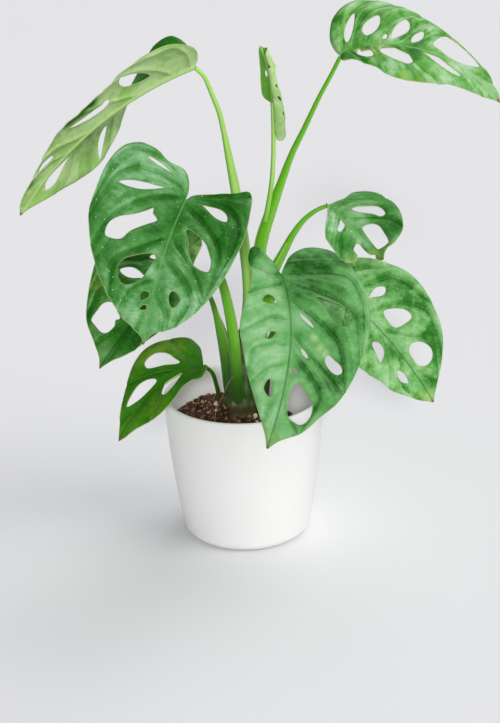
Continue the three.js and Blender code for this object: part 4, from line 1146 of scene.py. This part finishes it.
def upper_face(w, given, at):
    """Lightness adds up mottling, painted light and shade by the slope of the relief, painted shade
    in the creases, painted light on the ridges, streaks and the patches of painted sheen and shade.
    Below zero it shows the darker ground and painted shade, above zero the painted sheen. Netting,
    veins, midrib and speckles lie over that."""
    light = w.plus(
        w.times(w.plus(at.mottle, w.ease(at.fine, 0.35, 0.65, -0.1, 0.1)), given["Mottling"]),
        w.times(w.number("relief_light_and_shade"), given["Relief light and shade"]),
        w.times(at.crease_shade, w.ease(at.small, 0.35, 0.65, -0.6, -0.3)),
        w.times(at.ridge_light, w.ease(at.large, 0.4, 0.6, 0.05, 0.4)),
        w.times(at.banded, given["Streaks"]),
        w.number("sheen_and_shade"))
    netting = w.times(w.ease(at.net, 0.02, 0.10, 1.0, 0.0), 0.10)
    inner_vein = w.times(at.inner, given["Vein strength"])
    spots = w.ease(w.cells(at.flat, 26.0), 0.05, 0.11, 1.0, 0.0)
    return w.layers(
        given["Upper"],
        (w.capped(light, -1.0), given["Dark ground and shade"]),
        (w.capped(light, 0.8), given["Painted sheen"]),
        (netting, given["Vein"]),
        (w.times(w.ease(at.from_vein, 0.1, 0.6, 1.0, 0.0), inner_vein), given["Vein"]),
        (w.ease(at.from_midrib, 0.3, 0.9, 0.6, 0.0), given["Midrib"]),
        (w.times(spots, given["Speckles"]), (0.62, 0.70, 0.44)))


def under_face(w, given, at):
    """Paler and mottled, with painted shade past the veins, patches of painted shade and painted sheen,
    and pale raised veins.
    """
    painted_patch = w.number("sheen_and_shade")
    pale = w.blend(0.5, given["Under"], (0.62, 0.78, 0.42))
    ribs = w.times(w.ease(at.from_vein, 0.3, 1.1, 0.4, 0.0), at.inner)
    return w.layers(
        given["Under"],
        (w.ease(at.mottle, -0.3, 0.3, -0.1, 1.1), pale),
        (w.times(at.crease_shade, 0.32), given["Dark ground and shade"]),
        (w.capped(painted_patch, -0.9), given["Dark ground and shade"]),
        (w.capped(painted_patch, 0.6), (0.66, 0.80, 0.50)),
        (w.maths("MAXIMUM", ribs, w.ease(at.from_midrib, 0.7, 1.5, 0.9, 0.0)),
         (0.52, 0.74, 0.26)))


TISSUE_COLOURS = ("Upper", "Dark ground and shade", "Painted sheen", "Under", "Vein", "Midrib", "Margin")
TISSUE_SHARES = ("Roughness", "Vein strength", "Mottling", "Speckles", "Relief light and shade", "Streaks")


def leaf_tissue_group():
    """Colour, roughness and relief of a blade: its two faces, then sallow patches, a pale margin
    and a brown tip on both."""
    if "Leaf tissue" in bpy.data.node_groups:
        return bpy.data.node_groups["Leaf tissue"]
    group, w, given, out = new_group(
        "Leaf tissue", {"Color": TISSUE_COLOURS, "Float": TISSUE_SHARES},
        {"Color": ("Color",), "Float": ("Roughness", "Height")})
    at = vein_map(w)
    under = w.number("under")
    to_tip = w.maths("SUBTRACT", w.number("to_tip"), w.times(at.fine, 2.0))
    skin = w.layers(
        upper_face(w, given, at),
        (under, under_face(w, given, at)),
        (w.times(w.number("yellow"), w.ease(at.small, 0.3, 0.6, 0.4, 1.0)), (0.52, 0.62, 0.09)),
        (w.ease(w.number("depth"), 0.05, 0.35, 0.7, 0.0), given["Margin"]),
        (w.ease(to_tip, 0.6, 2.6, 1.0, 0.0), (0.23, 0.10, 0.035)))
    w.feed_all(out, {
        "Color": skin,
        "Roughness": w.plus(given["Roughness"], w.times(at.fine, 0.12), w.times(under, 0.2)),
        "Height": w.plus(w.ease(at.net, 0.0, 0.16), w.times(at.fine, 1.5))})
    return group


def principled(name):
    """A new material with one Principled shader on its output: the material, its wiring and the
    shader's inputs."""
    material = bpy.data.materials.new(name)
    material.use_nodes = True
    w = Wiring(material.node_tree)
    shader = w.node("ShaderNodeBsdfPrincipled")
    out = w.node("ShaderNodeOutputMaterial")
    w.feed(out.inputs["Surface"], shader.outputs["BSDF"])
    return material, w, shader.inputs


def blade_material(name, look):
    """The leaf tissue with one blade's greens and traits."""
    material, w, shader = principled("blade_" + name)
    vein = tuple(look.vein)
    values = dict(zip(("Upper", "Dark ground and shade", "Painted sheen", "Under"), GREENS[name]))
    values |= {"Vein": vein, "Midrib": vein, "Margin": tuple(look.margin)}
    values |= {"Roughness": look.roughness, **USUAL_TRAITS, **TRAITS.get(name, {})}
    w.feed(shader["Specular IOR Level"], values.pop("Specular"))
    tissue_node = w.node("ShaderNodeGroup", node_tree=leaf_tissue_group())
    w.feed_all(tissue_node.inputs, values)
    tissue_out = tissue_node.outputs
    w.feed_all(shader, {
        "Base Color": tissue_out["Color"], "Roughness": tissue_out["Roughness"],
        "Normal": w.bump(tissue_out["Height"], 0.15, 0.0004)})
    return material


def stalk_material(look):
    """Dark near the crown, partly as painted shade, and bright above; painted light towards +X, a
    painted highlight higher up on that side and painted shade along the edge towards -X, with fine
    lengthwise streaks, pale sheath lips and brown at the foot. The value called pale lightens a
    whole stalk above zero, most on its +X side as painted light, and darkens it below."""
    material, w, shader = principled("stalk_skin")
    place = w.place()
    high = w.plus(w.part(place, 2), w.times(w.noise(place, 45.0), 0.03))
    side = w.part(w.node("ShaderNodeNewGeometry").outputs["Normal"], 0)
    streak = w.noise(w.stretched(w.flat(), (6.0, 60.0, 1.0)), 6.0, 3.0, 0.6)
    pale = w.number("pale")
    skin = w.blend(w.ease(high, 0.120, 0.162), tuple(look.low_and_shaded), tuple(look.young))
    # Painted light, most on the +X side, where pale is above zero.
    painted_light_right = w.times(w.maths("MAXIMUM", pale, 0.0), w.ease(side, -0.8, 0.0, 0.3, 1.0))
    # A painted highlight on the upper +X side.
    painted_highlight_right = w.times(w.ease(side, -0.2, 0.9, 0.0, 0.55), w.ease(high, 0.130, 0.170))
    darker = w.maths("MAXIMUM", w.times(pale, -1.0), 0.0)
    skin = w.layers(
        skin,
        (w.ease(streak, 0.42, 0.68, 0.0, 0.55), w.blend(0.55, skin, (0.05, 0.22, 0.01))),
        (painted_light_right, (0.50, 0.78, 0.20)),
        # Painted shade along the edge towards -X.
        (w.ease(side, -0.98, -0.55, 0.75, 0.0), (0.020, 0.150, 0.004)),
        (painted_highlight_right, (0.42, 0.76, 0.16)),
        (darker, (0.050, 0.190, 0.016)),
        (w.times(w.number("wing"), 0.65), (0.50, 0.70, 0.22)),
        (w.ease(high, 0.097, 0.122, 0.8, 0.0), (0.070, 0.060, 0.020)))
    w.feed_all(shader, {
        "Base Color": skin, "Roughness": w.ease(streak, 0.3, 0.7, 0.30, 0.42),
        "Normal": w.bump(streak, 0.25, 0.0003), "Specular IOR Level": 0.2,
        "Coat Weight": 0.15, "Coat Roughness": 0.2})
    return material


def crown_material(look):
    """Dark green sheaths, dark partly as painted shade under the leaves, with brown, papery remains near
    the soil.
    """
    material, w, shader = principled("crown_skin")
    place = w.place()
    fibre = w.noise(w.stretched(place, (9.0, 9.0, 1.5)), 40.0, 4.0, 0.6)
    high = w.plus(w.part(place, 2), w.times(fibre, 0.02))
    skin = w.layers(
        (0.062, 0.050, 0.018),
        (w.ease(high, 0.096, 0.112), tuple(look.crown)),
        (w.ease(fibre, 0.45, 0.7, 0.0, 0.6), (0.085, 0.150, 0.020)))
    w.feed_all(shader, {
        "Base Color": skin, "Roughness": w.ease(fibre, 0.3, 0.7, 0.42, 0.65),
        "Normal": w.bump(fibre, 0.5, 0.0008)})
    return material


def root_material():
    """Dry, pale brown skin with darker rings."""
    material, w, shader = principled("root_skin")
    rings = w.noise(w.stretched(w.place(), (1.0, 1.0, 5.0)), 160.0, 3.0, 0.6)
    w.feed_all(shader, {
        "Base Color": w.blend(w.ease(rings, 0.35, 0.65), (0.44, 0.30, 0.13), (0.20, 0.11, 0.04)),
        "Roughness": w.ease(rings, 0.3, 0.7, 0.6, 0.85), "Normal": w.bump(rings, 0.4, 0.0003)})
    return material


def glaze_material(look):
    """Satin white glaze: a faint warm and cool mottle, fine orange-peel relief, and greyer low down."""
    material, w, shader = principled("pot_glaze")
    place = w.place()
    cloud = w.noise(place, 22.0, 3.0, 0.55)
    base = tuple(look.glaze)
    warm = tuple(c * k for c, k in zip(base, (0.985, 0.965, 0.92)))
    high = w.plus(w.part(place, 2), w.times(cloud, 0.006))
    skin = w.layers(
        base,
        (w.ease(cloud, 0.3, 0.7, 0.0, 0.5), warm),
        (w.ease(high, 0.0, 0.009, 0.5, 0.0), (0.62, 0.60, 0.55)))
    w.feed_all(shader, {
        "Base Color": skin, "Roughness": w.ease(cloud, 0.3, 0.7, 0.40, 0.52),
        "Normal": w.bump(w.noise(place, 420.0), 0.12, 0.0002), "Subsurface Weight": 0.6,
        "Subsurface Radius": (1.0, 1.0, 0.97), "Subsurface Scale": 0.010})
    return material


def soil_material(look):
    """Dark, moist crumbs with rusty bark among them."""
    material, w, shader = principled("soil_mix")
    place = w.place()
    grey = w.node("ShaderNodeSeparateColor")
    w.feed(grey.inputs[0], w.cells(place, 330.0, out="Color"))
    clump = w.noise(place, 120.0, 4.0, 0.65)
    skin = w.layers(
        tuple(look.bark),
        (w.ease(clump, 0.4, 0.75), (0.085, 0.030, 0.010)),
        (w.ease(grey.outputs[0], 0.72, 0.95, 0.0, 0.8), (0.20, 0.085, 0.030)))
    w.feed_all(shader, {
        "Base Color": skin, "Roughness": w.ease(clump, 0.3, 0.7, 0.65, 0.95),
        "Normal": w.bump(clump, 0.8, 0.0015)})
    return material


def chip_material():
    """Dark bark, rusty and pale bark and perlite in one finish, by each grain's tint value."""
    material, w, shader = principled("soil_grains")
    tint = w.number("tint")
    grain = w.noise(w.stretched(w.place(), (1.0, 1.0, 2.5)), 380.0, 4.0, 0.65)
    skin = w.layers(
        (0.014, 0.006, 0.003),
        (w.ease(tint, 0.1, 0.55), (0.19, 0.060, 0.016)),
        (w.ease(tint, 0.5, 0.85), (0.55, 0.26, 0.090)),
        (w.ease(tint, 0.93, 0.97), (0.74, 0.66, 0.52)),
        (w.ease(grain, 0.4, 0.7, 0.0, 0.55), (0.030, 0.014, 0.007)))
    w.feed_all(shader, {
        "Base Color": skin, "Roughness": w.ease(grain, 0.3, 0.7, 0.6, 0.95),
        "Normal": w.bump(grain, 0.6, 0.0006)})
    return material


def floor_material(look):
    """Matt, pale and almost even, with a faint grain."""
    material, w, shader = principled("floor")
    base = tuple(look.floor)
    grain = w.blend(w.noise(w.place(), 3.0), base, tuple(0.985 * c for c in base))
    w.feed_all(shader, {"Base Color": grain, "Roughness": 0.9})
    return material


# ---------------------------------------------------------------------------------------- pieces

WALL_GROWTH = 0.11  # the wall thickens by this share of the way down, as far as half height
SOIL_GAP = 0.0002  # between the soil and the wall
LARGEST_GRAIN = (-0.97, 0.0115, 0.0036)  # its angle, its distance from the middle and its size


def outer_radius(pot, z):
    """The wall's outside: from foot to rim it swells a little beyond a straight cone."""
    u = z / pot.height
    return pot.foot_radius + (pot.rim_radius - pot.foot_radius) * (u + pot.belly * u * (1 - u))


def inner_radius(pot, z):
    """The wall's inside: its thickness grows a little from the lip down to half height."""
    down = np.clip(pot.height - z, 0, pot.height / 2)
    return outer_radius(pot, z) - pot.wall - WALL_GROWTH * down


class MONSTERA_OT_pot(bpy.types.Operator):
    """Turn the tapered pot with its rounded foot and lip"""

    bl_idname = "monstera.pot"
    bl_label = "Pot"

    def execute(self, context):
        pot = settings("pot")
        outside = lambda z: outer_radius(pot, z)
        inside = lambda z: inner_radius(pot, z)
        r, lip, corner = pot.rounding, pot.wall / 2, 0.003
        top = pot.height - lip
        profile = [
            (0.0, 0.0),
            *((x, 0.0) for x in np.linspace(0.006, outside(0) - r, 6)),
            *arc((outside(r) - r, r), r, -80, 0, 9),
            *((outside(z), z) for z in np.linspace(r * 1.8, top, 26)),
            *arc((outside(top) - lip, top), lip, 15, 165, 11),
            *((inside(z), z) for z in np.linspace(top, pot.floor + corner + 0.001, 20)),
            *arc((inside(pot.floor) - corner, pot.floor + corner), corner, -18, -90, 5),
            (0.0, pot.floor)]
        piece = put_mesh("white_pot", *turned(profile, 160))
        stand_for(piece, "pot", glaze_material(pot))
        return {"FINISHED"}


def soil_height(pot, x, y):
    """Height of the soil: a dome from the wall to the crown that falls towards +X, and faster past
    steep_from, plus lumps of three sizes (spacing, height, seed)."""
    steep_from = 0.012
    lumps = ((0.007, 0.0011, 31), (0.003, 0.0008, 32), (0.0012, 0.0004, 33))
    edge = inner_radius(pot, pot.soil_edge)
    dome = pot.soil_mound * (1 - (x**2 + y**2) / edge**2)
    fall = pot.soil_slope * (x + 3 * np.maximum(x - steep_from, 0))
    rough = sum(height * ripple(x / spacing, y / spacing, seed) for spacing, height, seed in lumps)
    return pot.soil_edge + dome - fall + rough


def cut_box():
    """A box of half size 1 with its corners cut off: three points beside each corner, and the
    triangles of their convex hull, pointing outwards."""
    inset = 0.6
    points = []
    for a, b, c in product((-1, 1), repeat=3):
        points += [(a, b * inset, c * inset), (a * inset, b, c * inset), (a * inset, b * inset, c)]
    shape = bmesh.new()
    made = [shape.verts.new(p) for p in points]
    bmesh.ops.convex_hull(shape, input=made)
    shape.verts.index_update()
    bmesh.ops.triangulate(shape, faces=shape.faces[:])
    bmesh.ops.recalc_face_normals(shape, faces=shape.faces[:])
    faces = np.array([[v.index for v in f.verts] for f in shape.faces])
    shape.free()
    return np.array(points, float), faces


def turned_at_random(random, count):
    """Rotation matrices from random unit quaternions."""
    a, b, c, d = unit(random.normal(size=(count, 4))).T
    return np.stack([
        np.stack([1 - 2 * (c * c + d * d), 2 * (b * c - a * d), 2 * (b * d + a * c)], 1),
        np.stack([2 * (b * c + a * d), 1 - 2 * (b * b + d * d), 2 * (c * d - a * b)], 1),
        np.stack([2 * (b * d - a * c), 2 * (c * d + a * b), 1 - 2 * (b * b + c * c)], 1)], 1)


class MONSTERA_OT_soil(bpy.types.Operator):
    """Fill the pot with a mound of bark mix and strew grains over it"""

    bl_idname = "monstera.soil"
    bl_label = "Soil"

    def execute(self, context):
        pot = settings("pot")
        edge = inner_radius(pot, pot.soil_edge) - SOIL_GAP
        self.fill(pot, edge)
        self.strew(pot, edge)
        return {"FINISHED"}

    def fill(self, pot, edge):
        """The filling: a turned body whose top is then raised to the soil's height."""
        rings, sides = 56, 180
        foot = pot.floor + 0.0003
        profile = [
            (0.0, foot), (inner_radius(pot, pot.floor) - 0.004, foot),
            (edge - 0.0015, pot.soil_edge - 0.010),
            *((edge * (1 - k / rings), pot.soil_edge) for k in range(rings + 1))]
        vertices, faces = turned(profile, sides)
        top = vertices[:, 2] >= pot.soil_edge - 1e-9
        vertices[top, 2] = soil_height(pot, vertices[top, 0], vertices[top, 1])
        spread = (inner_radius(pot, vertices[top, 2]) - SOIL_GAP) / edge
        vertices[top, :2] *= spread[:, None]
        piece = put_mesh("bark_mix", vertices, faces)
        stand_for(piece, "soil", soil_material(pot))

    def strew(self, pot, edge, count=1100):
        """Grains: cut boxes, squeezed and turned at random, half sunk into the surface. Their size,
        flatness and tint are drawn from seeded random numbers."""
        random = np.random.default_rng(7)
        around = random.uniform(0, 2 * math.pi, count)
        radius = (edge - 0.002) * np.sqrt(random.uniform(0.0, 1, count))
        size = random.uniform(0.0009, 0.0026, count)
        around[0], radius[0], size[0] = LARGEST_GRAIN
        radius = np.minimum(radius, edge - size * 1.1)
        x, y = radius * np.cos(around), radius * np.sin(around)
        place = np.stack([x, y, soil_height(pot, x, y) + size * 0.15], 1)
        grain, hull = cut_box()
        squeeze = np.stack([
            np.ones(count), random.uniform(0.5, 1, count), random.uniform(0.3, 0.8, count)], 1)
        shapes = grain[None] * squeeze[:, None] * size[:, None, None] / 2
        shapes = shapes * (1 + 0.4 * random.uniform(-1, 1, shapes.shape[:2])[..., None])
        spun = turned_at_random(random, count)
        shapes = np.einsum("nij,nkj->nki", spun, shapes) + place[:, None]
        faces = hull[None] + (np.arange(count) * len(grain))[:, None, None]
        tint = random.uniform(0, 0.9, count) ** 1.3
        perlite = random.uniform(size=count) < 0.03
        perlite[0] = True
        tint[perlite] = 1.0
        piece = put_mesh(
            "bark_chips", shapes.reshape(-1, 3), [faces.reshape(-1, 3)],
            values={"tint": np.repeat(tint, len(grain))}, smooth=False)
        stand_for(piece, None, chip_material())


class MONSTERA_OT_crown(bpy.types.Operator):
    """Build the short stem that the stalks grow from, and its aerial root"""

    bl_idname = "monstera.crown"
    bl_label = "Crown and aerial root"

    def execute(self, context):
        ringed = lambda u, a: 1 + 0.06 * np.sin(u * 44) + 0.08 * np.sin(3 * a + 9 * u) \
            + 0.05 * np.sin(7 * a - 5 * u)
        knobbly = lambda u, a: 1 + 0.12 * np.sin(u * 90 + 2 * a)
        vertices, faces, *_ = tube(*centripetal_path(STEM, 90), 64, ringed)
        piece = put_mesh("crown", vertices, faces)
        stand_for(piece, "stem", crown_material(settings("stalk")))
        vertices, faces, *_ = tube(*centripetal_path(AERIAL_ROOT, 80), 14, knobbly)
        piece = put_mesh("thin_root", vertices, faces)
        stand_for(piece, "aerial_root", root_material())
        return {"FINISHED"}


LIP_ANGLE = 0.5  # from the middle of a sheath's channel to each lip, in radians


def off_channel(turn, faces_to):
    """The angle round the stalk from the middle of its channel, between -pi and pi."""
    return np.angle(np.exp(1j * (turn + math.radians(faces_to))))


class MONSTERA_OT_stalks(bpy.types.Operator):
    """Grow the leaf stalks with their sheaths"""

    bl_idname = "monstera.stalks"
    bl_label = "Leaf stalks"

    def execute(self, context):
        skin = stalk_material(settings("stalk"))
        for name, stations in STALKS.items():
            piece = self.stalk(name, stations, *SHEATHS[name])
            stand_for(piece, "stalk_" + name, skin)
        return {"FINISHED"}

    def stalk(self, name, stations, reach, faces_to, pale, lowest):
        """One stalk: round, with two lips beside a shallow channel as far up as its sheath goes."""

        def shape(u, turn):
            off = off_channel(turn, faces_to)
            grown = (1 - u / reach).clip(0, 1) ** 0.5 if reach else 0 * u
            lips = sum(0.20 * np.exp(-((off - lip) / 0.22) ** 2) for lip in (LIP_ANGLE, -LIP_ANGLE))
            return 1 + grown * (lips - 0.14 * np.exp(-((off / 0.3) ** 2)))

        path, radii = centripetal_path(stations, 150)
        vertices, faces, place, turn = tube(path, radii, 36, shape)
        run = np.append([0], np.cumsum(np.linalg.norm(np.diff(path, axis=0), axis=1)))
        far = np.interp(place, np.linspace(0, 1, len(run)), run) / MM
        off = np.abs(off_channel(turn, faces_to))
        risen = ((vertices[:, 2] / MM - lowest) / 40).clip(0.1, 1)
        wing = np.exp(-(((off - LIP_ANGLE) / 0.2) ** 2)) * (place < reach) * risen
        return put_mesh(
            "petiole_" + name, vertices, faces, uv=np.stack([far * FLAT_SCALE, turn / 6.3], 1),
            values={"wing": wing, "pale": pale * (risen if pale > 0 else np.ones_like(risen))})


class MONSTERA_OT_blades(bpy.types.Operator):
    """Cut, bend and vein the leaf blades"""

    bl_idname = "monstera.blades"
    bl_label = "Leaf blades"

    def execute(self, context):
        look = settings("blade")
        for i, (name, leaf) in enumerate(LEAVES.items()):
            piece = blade_piece("blade_" + name, leaf, 100 + 10 * i, look)
            stand_for(piece, "leaf_" + name, blade_material(name, look))
        return {"FINISHED"}


# ---------------------------------------------------------------------------------------- stage

FRAME_SIZE = (500, 723)  # the picture, in pixels
FOCAL_PIXELS = 1600.0
SENSOR = 36.0
LOOK_AT = (0.00484, 0.0, 0.11746)
FLOOR_HALF = 40.0

# Distant lights: heading from +X towards +Y, height and spread in degrees, power and tint.
LIGHTS = {
    "front": (-91.3, 23.3, 6, 1.5, (1.0, 1.0, 1.0)),
    "side": (-24, 40, 40, 1.15, (1.0, 0.99, 0.97)),
    "high": (50, 50, 50, 1.08, (1.0, 0.99, 0.98)),
}


def placed(right, up, back, place=(0, 0, 0)):
    """The matrix of a light or camera from its three axes; it looks away from back."""
    axes = Matrix(np.stack([right, up, back], 1).tolist()).to_4x4()
    return Matrix.Translation(place) @ axes


def distant_light(name, heading, height, spread, power, tint):
    """A wide light far away, so that the floor is lit evenly: it shines from the heading and
    height, and its disc is spread degrees across."""
    data = bpy.data.lights.new(name, "SUN")
    data.angle = math.radians(spread)
    data.energy = power
    data.color = tint
    light = bpy.data.objects.new(name, data)
    away = direction(heading, height)
    right = unit(np.cross([0, 0, 1], away))
    light.matrix_world = placed(right, np.cross(away, right), away)
    bpy.context.scene.collection.objects.link(light)


def sky(scene):
    """A faint, even world that is brighter overhead."""
    scene.world = bpy.data.worlds.new("studio")
    scene.world.use_nodes = True
    w = Wiring(scene.world.node_tree, keep=True)
    up = w.part(w.node("ShaderNodeTexCoord").outputs["Generated"], 2)
    w.feed_all(w.tree.nodes["Background"].inputs, {
        "Color": (0.95, 0.97, 1.0), "Strength": w.ease(up, 0.0, 1.0, 0.10, 0.34)})


def camera(scene, look):
    """Looks at one point from the front and above, a little tilted about its own axis."""
    data = bpy.data.cameras.new("camera")
    scene.camera = bpy.data.objects.new("camera", data)
    scene.collection.objects.link(scene.camera)
    data.sensor_width = SENSOR
    data.lens = FOCAL_PIXELS / max(FRAME_SIZE) * SENSOR
    data.clip_start, data.clip_end = 0.05, 200.0
    ahead = np.array([0, math.cos(look.elevation), -math.sin(look.elevation)])
    level = np.array([1.0, 0, 0])
    above = np.cross(level, ahead)
    cos, sin = math.cos(look.tilt), math.sin(look.tilt)
    place = np.array(LOOK_AT) - ahead * look.distance
    scene.camera.matrix_world = placed(
        cos * level + sin * above, cos * above - sin * level, -ahead, place)


class MONSTERA_OT_stage(bpy.types.Operator):
    """Lay the floor, hang the lights and set the camera"""

    bl_idname = "monstera.stage"
    bl_label = "Stage"

    def execute(self, context):
        look = settings("stage")
        corners = FLOOR_HALF * np.array([(-1, -1, 0), (1, -1, 0), (1, 1, 0), (-1, 1, 0)])
        floor = put_mesh("floor", corners, [np.array([[0, 1, 2, 3]])])
        floor.data.materials.append(floor_material(look))
        for name, light in LIGHTS.items():
            distant_light(name, *light)
        sky(context.scene)
        camera(context.scene, look)
        context.scene.view_settings.view_transform = "Standard"
        return {"FINISHED"}


class MONSTERA_PT_sidebar(bpy.types.Panel):
    """Lists the settings and the steps that build the plant"""

    bl_label = "Monstera"
    bl_idname = "MONSTERA_PT_sidebar"
    bl_space_type = "VIEW_3D"
    bl_region_type = "UI"
    bl_category = "Monstera"

    def draw(self, context):
        for name, group in GROUPS.items():
            box = self.layout.box()
            box.label(text=group.__name__.removesuffix("Settings"))
            for key in group.__annotations__:
                box.prop(settings(name), key)
        for operator in OPERATORS:
            self.layout.operator(operator.bl_idname)


OPERATORS = (
    MONSTERA_OT_stage, MONSTERA_OT_pot, MONSTERA_OT_soil, MONSTERA_OT_crown, MONSTERA_OT_stalks,
    MONSTERA_OT_blades,
)


def register():
    for name, group in GROUPS.items():
        bpy.utils.register_class(group)
        setattr(bpy.types.Scene, "monstera_" + name, bpy.props.PointerProperty(type=group))
    for item in (*OPERATORS, MONSTERA_PT_sidebar):
        bpy.utils.register_class(item)


def unregister():
    for item in (MONSTERA_PT_sidebar, *reversed(OPERATORS)):
        bpy.utils.unregister_class(item)
    for name, group in GROUPS.items():
        delattr(bpy.types.Scene, "monstera_" + name)
        bpy.utils.unregister_class(group)


def main():
    register()
    for operator in OPERATORS:
        group, name = operator.bl_idname.split(".")
        getattr(getattr(bpy.ops, group), name)()


if __name__ == "__main__":
    main()
